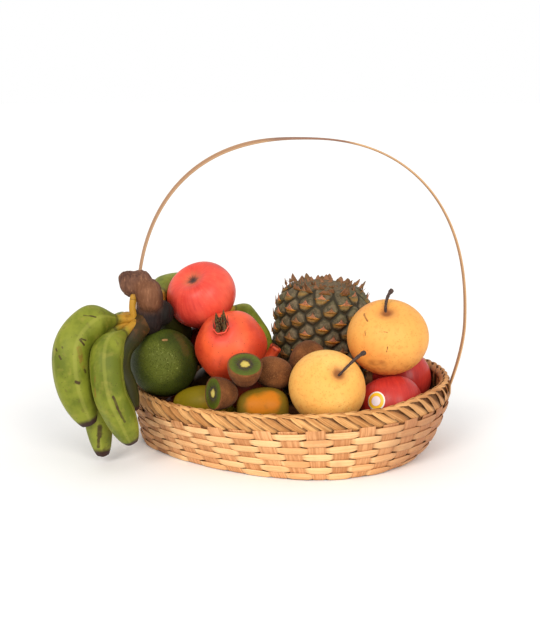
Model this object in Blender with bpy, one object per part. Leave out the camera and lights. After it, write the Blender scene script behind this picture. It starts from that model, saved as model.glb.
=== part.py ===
"""Oval woven fruit basket with an arched strip handle, filled with a heap of whole and halved fruit.

Metres, +Z up. The origin is the centre of the basket's flat underside. The basket's long axis and
its handle run along X, the low front of the heap faces -Y, and a hand of green bananas hangs over
the rim at the left end, -X.
"""
import math

import bmesh
import bpy
from mathutils import Matrix, Vector

# The basket's driving sizes
RIM_HALF_LENGTH = 0.1800
RIM_HALF_WIDTH = 0.144
RIM_POWER = 2.0
RIM_LEAN = 0.15           # the hand-made oval's front leans to the right, the base's most
BASE_HALF_LENGTH = 0.1545
BASE_HALF_WIDTH = 0.1355
BASE_POWER = 1.78
BASE_LEAN = 0.36
BASE_SHIFT = -0.0165      # the right end is a round bowl, the left end a straight slope
LEAN_BLEND = 0.030
BASKET_HEIGHT = 0.0715
RIM_TILT = 0.030          # the bananas' weight pulls the left end of the rim down
RIGHT_RISE = 0.0065       # the border is taller round the right end
RIGHT_RISE_FROM = 0.080
RIGHT_RISE_FULL = 0.150
WALL_THICKNESS = 0.0042
FLOOR_THICKNESS = 0.0045
FOOT_ROUND = 0.0015
GAP = 0.0003

# The weave and the plaited border
STAKES = 36
WEFT_ROWS = 6
WEAVE_DEPTH = 0.0011
BORDER_WIDTH = 0.0135
BORDER_HEIGHT = 0.018
BORDER_STRANDS = 58
STRAND_DEPTH = 0.0011
UNDER_BORDER = 0.0020     # how far the wall stands back under the border

# The handle, one split cane bent over the basket's length
HANDLE_WIDTH = 0.0095
HANDLE_THICKNESS = 0.0022
ARCH_CENTRE_X = 0.0122
ARCH_HALF_SPAN = 0.1850
ARCH_SPRING_Z = 0.140
ARCH_RISE = 0.2065
ARCH_POWER = 2.37
HANDLE_RIGHT_TWIST = math.radians(-6)
HANDLE_LEFT_TWIST = math.radians(20)
HANDLE_FOOT_Z = 0.044
HANDLE_CLEARANCE = 0.0016

# The pineapple
PINE_BASE = (0.0297, 0.0653, 0.0085)
PINE_HEIGHT = 0.1615
PINE_RADIUS = 0.0585
PINE_WIDEST = 0.58
PINE_LEAN = math.radians(4.4)
PINE_COLUMNS = 26
PINE_ROWS = 12
PINE_EYE_DEPTH = 0.0030

# name: (centre, axis towards the stem or the cut face, half width, half height)
APPLES = {
    "apple_top": ((-0.1008, 0.0180, 0.1668), (-0.25, -0.64, 0.73), 0.0402, 0.0365),
    "apple_front": ((0.1113, -0.0566, 0.0591), (-0.15, 0.55, 0.82), 0.0355, 0.0350),
    "apple_right": ((0.1285, 0.0092, 0.0712), (-0.20, 0.60, 0.77), 0.0338, 0.0338),
    "apple_middle": ((0.0537, -0.0206, 0.0722), (0.20, 0.20, 0.96), 0.0305, 0.0305),
}
PEARS = {
    "pear_front": ((0.0404, -0.0889, 0.0888), (0.336, -0.682, 0.65), 0.0418, 0.0375),
    "pear_back": ((0.1073, -0.0400, 0.1330), (-0.08, -0.45, 0.89), 0.0450, 0.0400),
}
POMEGRANATES = {
    "pomegranate_front": ((-0.0651, -0.0373, 0.1203), (-0.20, -0.64, 0.74), 0.0400, 0.0375),
    "pomegranate_back": ((-0.0423, 0.0003, 0.0646), (0.50, 0.05, 0.86), 0.0350, 0.0330),
}
MANGOES = {
    "mango_orange": ((-0.0290, -0.0920, 0.0680), (1.00, 0.10, 0.00), 0.0225, 0.0285),
    "mango_green": ((-0.0981, -0.0600, 0.0615), (0.95, -0.25, 0.14), 0.0215, 0.0310),
}
KIWIS = {
    "kiwi_front": ((-0.0176, -0.0700, 0.0995), (0.90, 0.15, -0.25), 0.0178, 0.0212),
    "kiwi_back": ((0.0194, -0.0340, 0.1058), (0.55, 0.25, 0.75), 0.0190, 0.0215),
}
KIWI_HALVES = {
    "kiwi_half_upper": ((-0.0475, -0.0962, 0.1155), (0.06, -0.46, 0.885), 0.0188, 0.0265),
    "kiwi_half_lower": ((-0.0815, -0.1010, 0.0845), (-0.84, -0.52, 0.14), 0.0180, 0.0280),
}
GREEN_ORANGE = ((-0.1408, -0.0262, 0.0982), (0.05, -0.54, 0.84), 0.0379, 0.0390)

# The fruit that carries the heap, which the view from the front hides. Each low fruit lies on
# the floor: (centre in plan, way its axis lies where it isn't upright, half width).
APPLE_BACK = ((-0.0905, 0.0520, 0.1005), (0.10, 0.30, 0.95), 0.0325, 0.0325)
LOW_APPLES = {
    "apple_low_left": ((-0.122, -0.013), 0.0272),
}
LOW_PEARS = {
    "pear_low_back": ((-0.088, 0.066), 0.0345),
}
LOW_MANGOES = {
    "mango_low_left": ((-0.0765, 0.010), (0.5, 1.0), 0.0205),
    "mango_low_middle": ((-0.041, -0.045), (1.0, 0.2), 0.0240),
    "mango_low_front": ((0.040, -0.086), (1.0, 0.1), 0.0238),
    "mango_low_right": ((0.0892, -0.004), (0.3, 1.0), 0.0208),
    "mango_low_end": ((0.1035, 0.052), (-0.3, 1.0), 0.0190),
}
LOW_KIWIS = {
    "kiwi_low_green": ((-0.094, -0.068), (1.0, -0.5), 0.0175),
    "kiwi_low_orange": ((-0.029, -0.0925), (1.0, -0.05), 0.0196),
    "kiwi_low_centre": ((-0.002, 0.000), (0.2, 1.0), 0.0180),
    "kiwi_low_middle": ((0.0478, -0.019), (0.2, 1.0), 0.0198),
    "kiwi_low_corner": ((0.1100, -0.0810), (1.0, 0.7), 0.0157),
    "kiwi_low_end": ((0.1282, 0.010), (0.1, 1.0), 0.0170),
    "kiwi_low_back": ((-0.0410, 0.092), (0.3, 1.0), 0.0180),
}
# How high a lying fruit's middle is over its lowest point, and its half length, in half widths
LOW_APPLE = (0.935, 1.10)
LOW_PEAR = (0.960, 1.04)
LOW_MANGO = (0.900, 1.20)
LOW_KIWI = (1.000, 1.18)


def material(name, colour, roughness):
    """A Principled material, the same one each time a name is asked for."""
    found = bpy.data.materials.get(name)
    if found is None:
        found = bpy.data.materials.new(name)
        found.use_nodes = True
        shader = found.node_tree.nodes["Principled BSDF"]
        shader.inputs["Base Color"].default_value = (*colour, 1.0)
        shader.inputs["Roughness"].default_value = roughness
        shader.inputs["Metallic"].default_value = 0.0
    return found


def straw():
    return material("straw", (0.66, 0.43, 0.20), 0.65)


def cane():
    return material("cane", (0.52, 0.34, 0.17), 0.55)


def banana_peel():
    return material("banana_peel", (0.22, 0.33, 0.05), 0.55)


def apple_skin():
    return material("apple_skin", (0.62, 0.06, 0.05), 0.30)


def pear_skin():
    return material("pear_skin", (0.83, 0.52, 0.19), 0.55)


def pomegranate_skin():
    return material("pomegranate_skin", (0.68, 0.13, 0.05), 0.40)


def kiwi_skin():
    return material("kiwi_skin", (0.22, 0.13, 0.07), 0.90)


def mango_skin():
    return material("mango_skin", (0.66, 0.35, 0.05), 0.40)


def orange_skin():
    return material("orange_skin", (0.09, 0.15, 0.03), 0.45)


def pineapple_skin():
    return material("pineapple_skin", (0.20, 0.17, 0.09), 0.80)


def ease(x):
    """A smooth step from 0 to 1."""
    x = min(1.0, max(0.0, x))
    return x * x * (3 - 2 * x)


def add_object(name, mesh, finish, smooth=True):
    """An object of a finished mesh, with its material."""
    mesh.materials.append(finish)
    if smooth:
        mesh.shade_smooth()
        mesh.set_sharp_from_angle(angle=math.radians(50))
    made = bpy.data.objects.new(name, mesh)
    bpy.context.scene.collection.objects.link(made)
    return made


def skin_rings(name, rings, first=None, last=None, closed=False):
    """A mesh through rings of points. first and last are the points that its ends close on."""
    shape = bmesh.new()
    made = [[shape.verts.new(point) for point in ring] for ring in rings]
    pairs = list(zip(made, made[1:]))
    if closed:
        pairs.append((made[-1], made[0]))
    for lower, upper in pairs:
        for k in range(len(lower)):
            j = (k + 1) % len(lower)
            shape.faces.new((lower[k], lower[j], upper[j], upper[k]))
    for ring, point in ((made[0], first), (made[-1], last)):
        if point is not None:
            pole = shape.verts.new(point)
            for k in range(len(ring)):
                shape.faces.new((ring[k], ring[(k + 1) % len(ring)], pole))
    bmesh.ops.recalc_face_normals(shape, faces=shape.faces)
    mesh = bpy.data.meshes.new(name)
    shape.to_mesh(mesh)
    shape.free()
    return mesh


def facing(axis, spin=0.0):
    """The rotation that turns +Z to the axis, after a spin about +Z."""
    turn = Vector((0, 0, 1)).rotation_difference(Vector(axis).normalized())
    return turn.to_matrix().to_4x4() @ Matrix.Rotation(spin, 4, "Z")


def place(made, centre, axis, spin=0.0):
    made.matrix_world = Matrix.Translation(Vector(centre)) @ facing(axis, spin)
    return made


def unite(base, others):
    """Joins the others to the base with one Boolean union, and leaves the base's material on it."""
    group = bpy.data.collections.new(base.name + "_pieces")
    bpy.context.scene.collection.children.link(group)
    for piece in others:
        bpy.context.scene.collection.objects.unlink(piece)
        group.objects.link(piece)
    union = base.modifiers.new("union", "BOOLEAN")
    union.operation = "UNION"
    union.operand_type = "COLLECTION"
    union.collection = group
    union.solver = "EXACT"
    graph = bpy.context.evaluated_depsgraph_get()
    joined = bpy.data.meshes.new_from_object(base.evaluated_get(graph))
    base.modifiers.clear()
    base.data = joined
    for piece in others:
        bpy.data.objects.remove(piece)
    bpy.data.collections.remove(group)
    return base


def mix(a, b, share):
    return a + (b - a) * share


def oval(angle, share=1.0, inset=0.0):
    """A point on the basket's hand-made oval at this share of the wall's height.

    inset draws the point in. The oval's left end slopes straight from base to rim, and its right
    end is a round bowl.
    """
    swell = share ** (0.72 - 0.27 * math.cos(angle))
    power = 2 / mix(BASE_POWER, RIM_POWER, swell)
    length = mix(BASE_HALF_LENGTH, RIM_HALF_LENGTH, swell) - inset
    width = mix(BASE_HALF_WIDTH, RIM_HALF_WIDTH, swell) - inset
    x = length * math.copysign(abs(math.cos(angle)) ** power, math.cos(angle))
    y = width * math.copysign(abs(math.sin(angle)) ** power, math.sin(angle))
    lean = mix(BASE_LEAN, RIM_LEAN, swell) * (math.hypot(y, LEAN_BLEND) - LEAN_BLEND - y) / 2
    return x + lean + BASE_SHIFT * (1 - swell), y


def rim_lift(angle):
    """How far the rim stands above its mean height at this angle."""
    return RIM_TILT * RIM_HALF_LENGTH * math.cos(angle)


def right_rise(angle):
    """How much taller the border is at this angle than along the front."""
    along = RIM_HALF_LENGTH * math.cos(angle)
    return RIGHT_RISE * ease((along - RIGHT_RISE_FROM) / (RIGHT_RISE_FULL - RIGHT_RISE_FROM))


def wall_top(angle):
    return BASKET_HEIGHT - BORDER_HEIGHT - GAP + rim_lift(angle)


def wall_ring(share, inset, height_of, relief_of):
    """One ring of the wall. relief_of gives how far the weave stands out at each column."""
    ring = []
    for column in range(2 * STAKES):
        angle = math.tau * column / (2 * STAKES)
        drawn_in = UNDER_BORDER + inset - relief_of(column)
        ring.append((*oval(angle, share, drawn_in), height_of(angle)))
    return ring


def build_basket():
    """The woven bowl: its outer side in raised and sunk weave, a plain inner side and a flat floor."""

    def flat(column):
        return 0.0

    rings = [
        wall_ring(0.0, 2 * FOOT_ROUND, lambda angle: 0.0, flat),
        wall_ring(0.0, 0.4 * FOOT_ROUND, lambda angle: 0.0, flat),
    ]
    levels = 2 * WEFT_ROWS
    for level in range(levels):
        share = (level + 0.6) / levels
        row = level // 2

        def woven(column, row=row):
            return WEAVE_DEPTH * (0.0 if (column // 2 + row) % 2 else 1.0)

        rings.append(
            wall_ring(share, 0.0, lambda angle, share=share: share * wall_top(angle), woven)
        )
    rings.append(wall_ring(1.0, 0.0005, wall_top, flat))
    rings.append(wall_ring(1.0, WALL_THICKNESS, wall_top, flat))
    for share in (0.55, 0.12):
        rings.append(
            wall_ring(
                share,
                WALL_THICKNESS,
                lambda angle, share=share: share * wall_top(angle),
                flat,
            )
        )
    rings.append(
        wall_ring(0.0, WALL_THICKNESS + FOOT_ROUND, lambda angle: FLOOR_THICKNESS, flat)
    )
    mesh = skin_rings("basket", rings, (0, 0, 0), (0, 0, FLOOR_THICKNESS))
    return add_object("basket", mesh, straw())


def build_border():
    """The plaited border: a ring over the wall's top whose strands slant down to the right."""
    steps, around = 3 * BORDER_STRANDS, 7
    half_width = BORDER_WIDTH / 2
    box_power = 0.45
    rings = []
    for step in range(steps):
        angle = math.tau * step / steps
        x, y = oval(angle, inset=half_width)
        ahead = Vector(oval(angle + 0.01, inset=half_width)) - Vector((x, y))
        outward = Vector((ahead.y, -ahead.x)).normalized()
        half_height = (BORDER_HEIGHT + right_rise(angle)) / 2
        middle = BASKET_HEIGHT - BORDER_HEIGHT + rim_lift(angle) + half_height
        ring = []
        for k in range(around):
            turn = math.tau * (k + 0.5) / around - math.pi / 2
            side = math.copysign(abs(math.cos(turn)) ** box_power, math.cos(turn))
            lift = math.copysign(abs(math.sin(turn)) ** box_power, math.sin(turn))
            phase = (BORDER_STRANDS * step / steps + lift * 0.55) % 1.0
            relief = STRAND_DEPTH * (math.sin(math.pi * phase) - 1)
            out = side * (half_width + relief)
            z = middle + lift * (half_height + (relief if lift > 0 else 0.0))
            ring.append((x + outward.x * out, y + outward.y * out, z))
        rings.append(ring)
    mesh = skin_rings("border", rings, closed=True)
    return add_object("border", mesh, straw())


def leg_x(z, side):
    """Where a leg's centre line stands at height z, on the left (-1) or right (+1)."""
    wide = ARCH_CENTRE_X + side * ARCH_HALF_SPAN
    clear = HANDLE_THICKNESS / 2 + HANDLE_CLEARANCE
    under_border = BASKET_HEIGHT - BORDER_HEIGHT + side * RIM_TILT * RIM_HALF_LENGTH
    border_middle = under_border + BORDER_HEIGHT / 2
    at_border = side * (RIM_HALF_LENGTH + clear)
    if z >= border_middle:
        fall = (ARCH_SPRING_Z - z) / (ARCH_SPRING_Z - border_middle)
        return wide + (at_border - wide) * fall ** 1.7
    end = 0.0 if side > 0 else math.pi
    wall = abs(oval(end, min(z / under_border, 1.0), UNDER_BORDER - WEAVE_DEPTH)[0]) + clear
    return side * min(side * at_border, wall + 0.001)


def handle_line():
    """(point, share of the way from the right foot to the left one) along the cane."""
    leg_steps, arch_steps = 8, 28
    line = []
    for k in range(leg_steps):
        z = HANDLE_FOOT_Z + (ARCH_SPRING_Z - HANDLE_FOOT_Z) * k / leg_steps
        line.append(Vector((leg_x(z, 1), 0.0, z)))
    for k in range(arch_steps + 1):
        turn = math.pi * k / arch_steps
        power = 2 / ARCH_POWER
        x = ARCH_HALF_SPAN * math.copysign(abs(math.cos(turn)) ** power, math.cos(turn))
        z = ARCH_RISE * math.sin(turn) ** power
        line.append(Vector((ARCH_CENTRE_X + x, 0.0, ARCH_SPRING_Z + z)))
    for k in range(leg_steps - 1, -1, -1):
        z = HANDLE_FOOT_Z + (ARCH_SPRING_Z - HANDLE_FOOT_Z) * k / leg_steps
        line.append(Vector((leg_x(z, -1), 0.0, z)))
    return line


def cane_twist(share):
    """The cane shows its edge at the right foot and turns its inner face forward on the left."""
    turned = ease((share - 0.42) / 0.35)
    twist = HANDLE_RIGHT_TWIST + (HANDLE_LEFT_TWIST - HANDLE_RIGHT_TWIST) * turned
    return twist * ease(share / 0.12) * ease((1 - share) / 0.12)


def build_handle():
    line = handle_line()
    rings = []
    for k, point in enumerate(line):
        share = k / (len(line) - 1)
        before, after = line[max(k - 1, 0)], line[min(k + 1, len(line) - 1)]
        along = (after - before).normalized()
        turn = Matrix.Rotation(-cane_twist(share), 3, along)
        across = turn @ Vector((0, 1, 0))
        face = along.cross(across)
        corners = ((1, 1), (1, -1), (-1, -1), (-1, 1))
        half_width, half_thickness = HANDLE_WIDTH / 2, HANDLE_THICKNESS / 2
        rings.append(
            [point + across * half_width * a + face * half_thickness * b for a, b in corners]
        )
    mesh = skin_rings("handle", rings, line[0], line[-1])
    return add_object("handle", mesh, cane())


def turned_fruit(name, point_at, segments, bands, finish):
    """A fruit whose skin is point_at(band angle from the stem, turn about the axis)."""
    rings = [
        [point_at(math.pi * i / bands, math.tau * k / segments) for k in range(segments)]
        for i in range(1, bands)
    ]
    mesh = skin_rings(name, rings, point_at(0.0, 0.0), point_at(math.pi, 0.0))
    return add_object(name, mesh, finish)


def apple_point(band, turn, half_width, half_height):
    lobes = 1 + 0.020 * math.cos(5 * turn) * math.sin(band) * (0.5 - 0.5 * math.cos(band))
    out = half_width * math.sin(band) * (1 + 0.05 * math.cos(band)) * lobes
    hollow = 0.33 * math.exp(-((band / 0.40) ** 2))
    basin = 0.22 * math.exp(-(((math.pi - band) / 0.40) ** 2))
    z = half_height * (math.cos(band) - hollow + basin)
    return Vector((out * math.cos(turn), out * math.sin(turn), z))


def pear_point(band, turn, half_width, half_height):
    out = half_width * math.sin(band) * (1 - 0.03 * math.cos(band))
    hollow = 0.15 * math.exp(-((band / 0.30) ** 2))
    basin = 0.10 * math.exp(-(((math.pi - band) / 0.35) ** 2))
    z = half_height * (math.cos(band) - hollow + basin)
    return Vector((out * math.cos(turn), out * math.sin(turn), z))


def mango_point(band, turn, half_width, half_height):
    out = half_width * math.sin(band) ** 0.75 * (1 + 0.06 * math.cos(band))
    bow = 0.08 * half_width * math.sin(band)
    return Vector(
        (out * math.cos(turn) + bow, out * 0.90 * math.sin(turn), half_height * math.cos(band))
    )


def kiwi_point(band, turn, half_width, half_height):
    out = half_width * math.sin(band) ** 0.85
    return Vector((out * math.cos(turn), out * math.sin(turn), half_height * math.cos(band)))


def orange_point(band, turn, half_width, half_height):
    dent = 0.05 * math.exp(-((band / 0.25) ** 2))
    z = half_height * (math.cos(band) - dent)
    out = half_width * math.sin(band)
    return Vector((out * math.cos(turn), out * math.sin(turn), z))


def build_fruit(name, spec, shape, segments, bands, finish, spin=0.0):
    centre, axis, half_width, half_height = spec
    made = turned_fruit(
        name,
        lambda band, turn: shape(band, turn, half_width, half_height),
        segments,
        bands,
        finish,
    )
    return place(made, centre, axis, spin)


def build_stalk(name, start, bend, end, radius):
    """A pear's bent stalk: a tapered tube with a thicker cut end."""
    steps, around = 6, 6
    points = [
        start.lerp(bend, k / steps).lerp(bend.lerp(end, k / steps), k / steps)
        for k in range(steps + 1)
    ]
    rings = []
    for k, point in enumerate(points):
        along = (points[min(k + 1, steps)] - points[max(k - 1, 0)]).normalized()
        side = along.orthogonal().normalized()
        other = along.cross(side)
        size = radius * (0.85 + 0.15 * k / steps + (0.5 if k == steps else 0.0))
        rings.append(
            [
                point
                + side * size * math.cos(math.tau * j / around)
                + other * size * math.sin(math.tau * j / around)
                for j in range(around)
            ]
        )
    mesh = skin_rings(name, rings, points[0], points[-1])
    return add_object(name, mesh, pear_skin())


# Each stalk's root, bend and end, from its pear's centre
PEAR_STALKS = {
    "pear_front": ((0.009, -0.020, 0.016), (0.030, -0.026, 0.042), (0.038, -0.012, 0.041)),
    "pear_back": ((-0.003, -0.012, 0.024), (-0.006, -0.010, 0.045), (0.004, -0.003, 0.053)),
}
STALK_RADIUS = 0.0021


def build_pears():
    for name, spec in PEARS.items():
        body = build_fruit(name, spec, pear_point, 15, 11, pear_skin())
        body.data.transform(body.matrix_world)
        body.matrix_world = Matrix.Identity(4)
        centre = Vector(spec[0])
        start, bend, end = (centre + Vector(offset) for offset in PEAR_STALKS[name])
        unite(body, [build_stalk(name + "_stalk", start, bend, end, STALK_RADIUS)])


CALYX_RADIUS = 0.0085
CALYX_HEIGHT = 0.016
SEPALS = 6


def build_pomegranate(name, spec):
    """A round fruit drawn up into a tube that ends in a crown of sepals round a cup."""
    centre, axis, half_width, half_height = spec
    segments, bands = 2 * SEPALS, 11
    neck_band = 0.30
    rings = []
    for i in range(1, bands):
        band = math.pi - (math.pi - neck_band) * i / (bands - 1)
        ring = []
        for k in range(segments):
            turn = math.tau * k / segments
            facets = 1 + 0.018 * math.cos(6 * turn) * math.sin(band)
            out = half_width * math.sin(band) * facets
            ring.append((out * math.cos(turn), out * math.sin(turn), half_height * math.cos(band)))
        rings.append(ring)
    shoulder = half_height * math.cos(neck_band)

    def crown_ring(radius, height, notch):
        ring = []
        for k in range(segments):
            turn = math.tau * k / segments
            tip = notch if k % 2 else 0.0
            flare = radius * (1 - 0.12 * (k % 2))
            ring.append(
                (flare * math.cos(turn), flare * math.sin(turn), shoulder + height - tip)
            )
        return ring

    rings += [
        crown_ring(CALYX_RADIUS * 0.95, 0.25 * CALYX_HEIGHT, 0.0),
        crown_ring(CALYX_RADIUS * 1.10, CALYX_HEIGHT, 0.4 * CALYX_HEIGHT),
        crown_ring(CALYX_RADIUS * 0.85, CALYX_HEIGHT * 0.98, 0.4 * CALYX_HEIGHT),
        crown_ring(CALYX_RADIUS * 0.60, CALYX_HEIGHT * 0.42, 0.0),
    ]
    mesh = skin_rings(
        name, rings, (0, 0, -half_height * 0.99), (0, 0, shoulder + 0.40 * CALYX_HEIGHT)
    )
    return place(add_object(name, mesh, pomegranate_skin()), centre, axis)


def build_kiwi_half(name, spec):
    """Half a kiwi: a flat cut face at its centre, and the furry rounded end behind it."""
    centre, axis, half_width, length = spec
    segments, bands = 14, 5
    rounding = 0.0008
    rings = [
        [
            (
                (half_width - rounding) * math.cos(math.tau * k / segments),
                (half_width - rounding) * math.sin(math.tau * k / segments),
                0.0,
            )
            for k in range(segments)
        ]
    ]
    for i in range(bands):
        band = math.pi / 2 * (1 + i / bands)
        out = half_width * math.sin(band) ** 0.85
        z = length * math.cos(band) - rounding
        rings.append(
            [
                (out * math.cos(math.tau * k / segments), out * math.sin(math.tau * k / segments), z)
                for k in range(segments)
            ]
        )
    mesh = skin_rings(name, rings, (0, 0, 0), (0, 0, -length - rounding))
    return place(add_object(name, mesh, kiwi_skin()), centre, axis)


def pine_radius(share):
    """The barrel's radius at this share of its height: widest over the middle, with round ends."""
    if share > PINE_WIDEST:
        return PINE_RADIUS * (1 - 0.32 * ((share - PINE_WIDEST) / (1 - PINE_WIDEST)) ** 6)
    return PINE_RADIUS * (1 - 0.24 * ((PINE_WIDEST - share) / PINE_WIDEST) ** 3)


def build_pineapple():
    """A crownless pineapple: a barrel of staggered eyes that stand out as low knobs."""
    rings = []
    for row in range(PINE_ROWS + 1):
        share = row / PINE_ROWS
        ring = []
        for column in range(PINE_COLUMNS):
            knob = 0.0 if (row + column) % 2 else PINE_EYE_DEPTH
            radius = pine_radius(share) - PINE_EYE_DEPTH + knob
            turn = math.tau * column / PINE_COLUMNS
            ring.append(
                (radius * math.cos(turn), radius * math.sin(turn), PINE_HEIGHT * share)
            )
        rings.append(ring)
    rings.append([(0.45 * x, 0.45 * y, z + 0.004) for x, y, z in rings[-1]])
    mesh = skin_rings("pineapple", rings, (0, 0, 0), (0, 0, PINE_HEIGHT + 0.002))
    made = add_object("pineapple", mesh, pineapple_skin())
    made.location = PINE_BASE
    made.rotation_euler.y = PINE_LEAN
    return made


# Each finger of the banana hand: its full radius, and points from the crown to the tip
FINGERS = {
    "far_left": (
        0.0210,
        (-0.170, -0.036, 0.150),
        (-0.190, -0.050, 0.153),
        (-0.215, -0.070, 0.152),
        (-0.2315, -0.090, 0.131),
        (-0.229, -0.099, 0.092),
        (-0.215, -0.094, 0.047),
    ),
    "front": (
        0.0180,
        (-0.165, -0.036, 0.150),
        (-0.180, -0.062, 0.141),
        (-0.193, -0.098, 0.127),
        (-0.190, -0.111, 0.090),
        (-0.180, -0.108, 0.062),
        (-0.169, -0.100, 0.029),
    ),
    "under": (
        0.0160,
        (-0.168, -0.034, 0.148),
        (-0.195, -0.058, 0.140),
        (-0.210, -0.072, 0.108),
        (-0.209, -0.080, 0.064),
        (-0.204, -0.078, 0.0065),
    ),
    "shaded": (
        0.0130,
        (-0.162, -0.030, 0.148),
        (-0.172, -0.048, 0.134),
        (-0.179, -0.060, 0.119),
        (-0.1805, -0.067, 0.101),
        (-0.177, -0.072, 0.081),
        (-0.1700, -0.074, 0.058),
    ),
    "outer_back": (
        0.0165,
        (-0.166, -0.022, 0.150),
        (-0.188, -0.003, 0.147),
        (-0.195, 0.022, 0.128),
        (-0.202, 0.042, 0.100),
        (-0.203, 0.050, 0.072),
        (-0.195, 0.052, 0.042),
    ),
    "inner_back": (
        0.0165,
        (-0.156, -0.018, 0.152),
        (-0.149, 0.014, 0.146),
        (-0.141, 0.036, 0.123),
        (-0.141, 0.048, 0.090),
        (-0.124, 0.044, 0.050),
    ),
    "inner_top": (
        0.0175,
        (-0.155, -0.016, 0.163),
        (-0.152, 0.022, 0.163),
        (-0.145, 0.058, 0.166),
        (-0.124, 0.079, 0.165),
        (-0.101, 0.083, 0.155),
        (-0.082, 0.076, 0.136),
    ),
}
LOOSE_BANANA = (
    0.0165,
    (-0.0740, 0.0380, 0.1425),
    (-0.0665, 0.0440, 0.1450),
    (-0.0570, 0.0480, 0.1370),
    (-0.0463, 0.0480, 0.1230),
    (-0.0364, 0.0450, 0.1070),
    (-0.0316, 0.0400, 0.0880),
)
# The lobes of the hand's dried crown: (centre, half sizes, lean in the view from the front)
CROWN_LOBES = (
    ((-0.177, -0.028, 0.189), (0.0115, 0.0130, 0.0146), math.radians(-20)),
    ((-0.165, -0.027, 0.190), (0.0123, 0.0140, 0.0131), math.radians(0)),
    ((-0.1556, -0.030, 0.176), (0.0149, 0.0170, 0.0190), math.radians(-8)),
    ((-0.1570, -0.026, 0.1500), (0.0154, 0.0170, 0.0150), math.radians(0)),
)


def smooth_line(points, count):
    """count + 1 points on a Catmull-Rom curve through the given ones."""
    points = [Vector(point) for point in points]
    points = [2 * points[0] - points[1], *points, 2 * points[-1] - points[-2]]
    spans = len(points) - 3
    line = []
    for k in range(count + 1):
        at = k / count * spans
        i = min(int(at), spans - 1)
        t = at - i
        a, b, c, d = points[i : i + 4]
        line.append(
            0.5
            * (
                2 * b
                + (c - a) * t
                + (2 * a - 5 * b + 4 * c - d) * t ** 2
                + (3 * b - a - 3 * c + d) * t ** 3
            )
        )
    return line


def finger_girth(share):
    """The finger's girth from its thin neck to its blunt tip, as a share of the full girth."""
    neck = 0.28
    swell = neck + (1 - neck) * ease((share - 0.15) / 0.24)
    taper = math.sqrt(1 - 0.88 * max(0.0, (share - 0.70) / 0.30) ** 2.4)
    return swell * taper


def build_finger(name, radius, *points, stations=9, sides=8):
    line = smooth_line(points, stations)
    rings = []
    side = (line[1] - line[0]).orthogonal().normalized()
    for k, point in enumerate(line):
        along = (line[min(k + 1, stations)] - line[max(k - 1, 0)]).normalized()
        side = (side - along * side.dot(along)).normalized()
        other = along.cross(side)
        size = radius * finger_girth(k / stations)
        rings.append(
            [
                point
                + side * size * math.cos(math.tau * j / sides)
                + other * size * math.sin(math.tau * j / sides)
                for j in range(sides)
            ]
        )
    mesh = skin_rings(name, rings, line[0], line[-1])
    return add_object(name, mesh, banana_peel())


def build_lobe(name, centre, halves, lean):
    def point_at(band, turn):
        out = math.sin(band) ** 0.8
        return Vector(
            (
                halves[0] * out * math.cos(turn),
                halves[1] * out * math.sin(turn),
                halves[2] * math.cos(band),
            )
        )

    made = turned_fruit(name, point_at, 8, 6, banana_peel())
    made.matrix_world = Matrix.Translation(Vector(centre)) @ Matrix.Rotation(lean, 4, "Y")
    return made


def build_banana_hand():
    """One hand of bananas: every finger and the crown's cut ends joined in one solid."""
    lobes = [
        build_lobe(f"crown_{k}", centre, halves, lean)
        for k, (centre, halves, lean) in enumerate(CROWN_LOBES)
    ]
    bpy.context.view_layer.update()
    for lobe in lobes:
        lobe.data.transform(lobe.matrix_world)
        lobe.matrix_world = Matrix.Identity(4)
    base = lobes.pop()
    base.name = "banana_hand"
    fingers = [build_finger("finger_" + name, *spec) for name, spec in FINGERS.items()]
    return unite(base, lobes + fingers)


def clear_scene():
    for old in list(bpy.data.objects):
        bpy.data.objects.remove(old)


def build_low_fruit():
    """The bottom layer, each fruit lying on the floor, and the apple over it at the back."""
    floor = FLOOR_THICKNESS + GAP

    def lying(plan, axis, half_width, shape):
        lift, length = shape
        return (*plan, floor + lift * half_width), axis, half_width, length * half_width

    build_fruit("apple_back", APPLE_BACK, apple_point, 12, 8, apple_skin())
    for name, (plan, half_width) in LOW_APPLES.items():
        spec = lying(plan, (0.0, 0.0, 1.0), half_width, LOW_APPLE)
        build_fruit(name, spec, apple_point, 12, 8, apple_skin())
    for name, (plan, half_width) in LOW_PEARS.items():
        spec = lying(plan, (0.0, 0.0, 1.0), half_width, LOW_PEAR)
        build_fruit(name, spec, pear_point, 12, 8, pear_skin())
    for name, (plan, (along, across), half_width) in LOW_MANGOES.items():
        spec = lying(plan, (along, across, 0.0), half_width, LOW_MANGO)
        flat_side_down = math.atan2(along, -across)
        build_fruit(name, spec, mango_point, 10, 7, mango_skin(), flat_side_down)
    for name, (plan, (along, across), half_width) in LOW_KIWIS.items():
        spec = lying(plan, (along, across, 0.0), half_width, LOW_KIWI)
        build_fruit(name, spec, kiwi_point, 10, 7, kiwi_skin())


def main():
    clear_scene()
    build_basket()
    build_border()
    build_handle()
    for name, spec in APPLES.items():
        build_fruit(name, spec, apple_point, 15, 10, apple_skin())
    build_pears()
    for name, spec in POMEGRANATES.items():
        build_pomegranate(name, spec)
    for name, spec in MANGOES.items():
        build_fruit(name, spec, mango_point, 12, 8, mango_skin())
    for name, spec in KIWIS.items():
        build_fruit(name, spec, kiwi_point, 12, 8, kiwi_skin())
    for name, spec in KIWI_HALVES.items():
        build_kiwi_half(name, spec)
    build_low_fruit()
    build_fruit("green_orange", GREEN_ORANGE, orange_point, 16, 11, orange_skin())
    build_pineapple()
    build_banana_hand()
    build_finger("banana_loose", *LOOSE_BANANA)


main()
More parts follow.
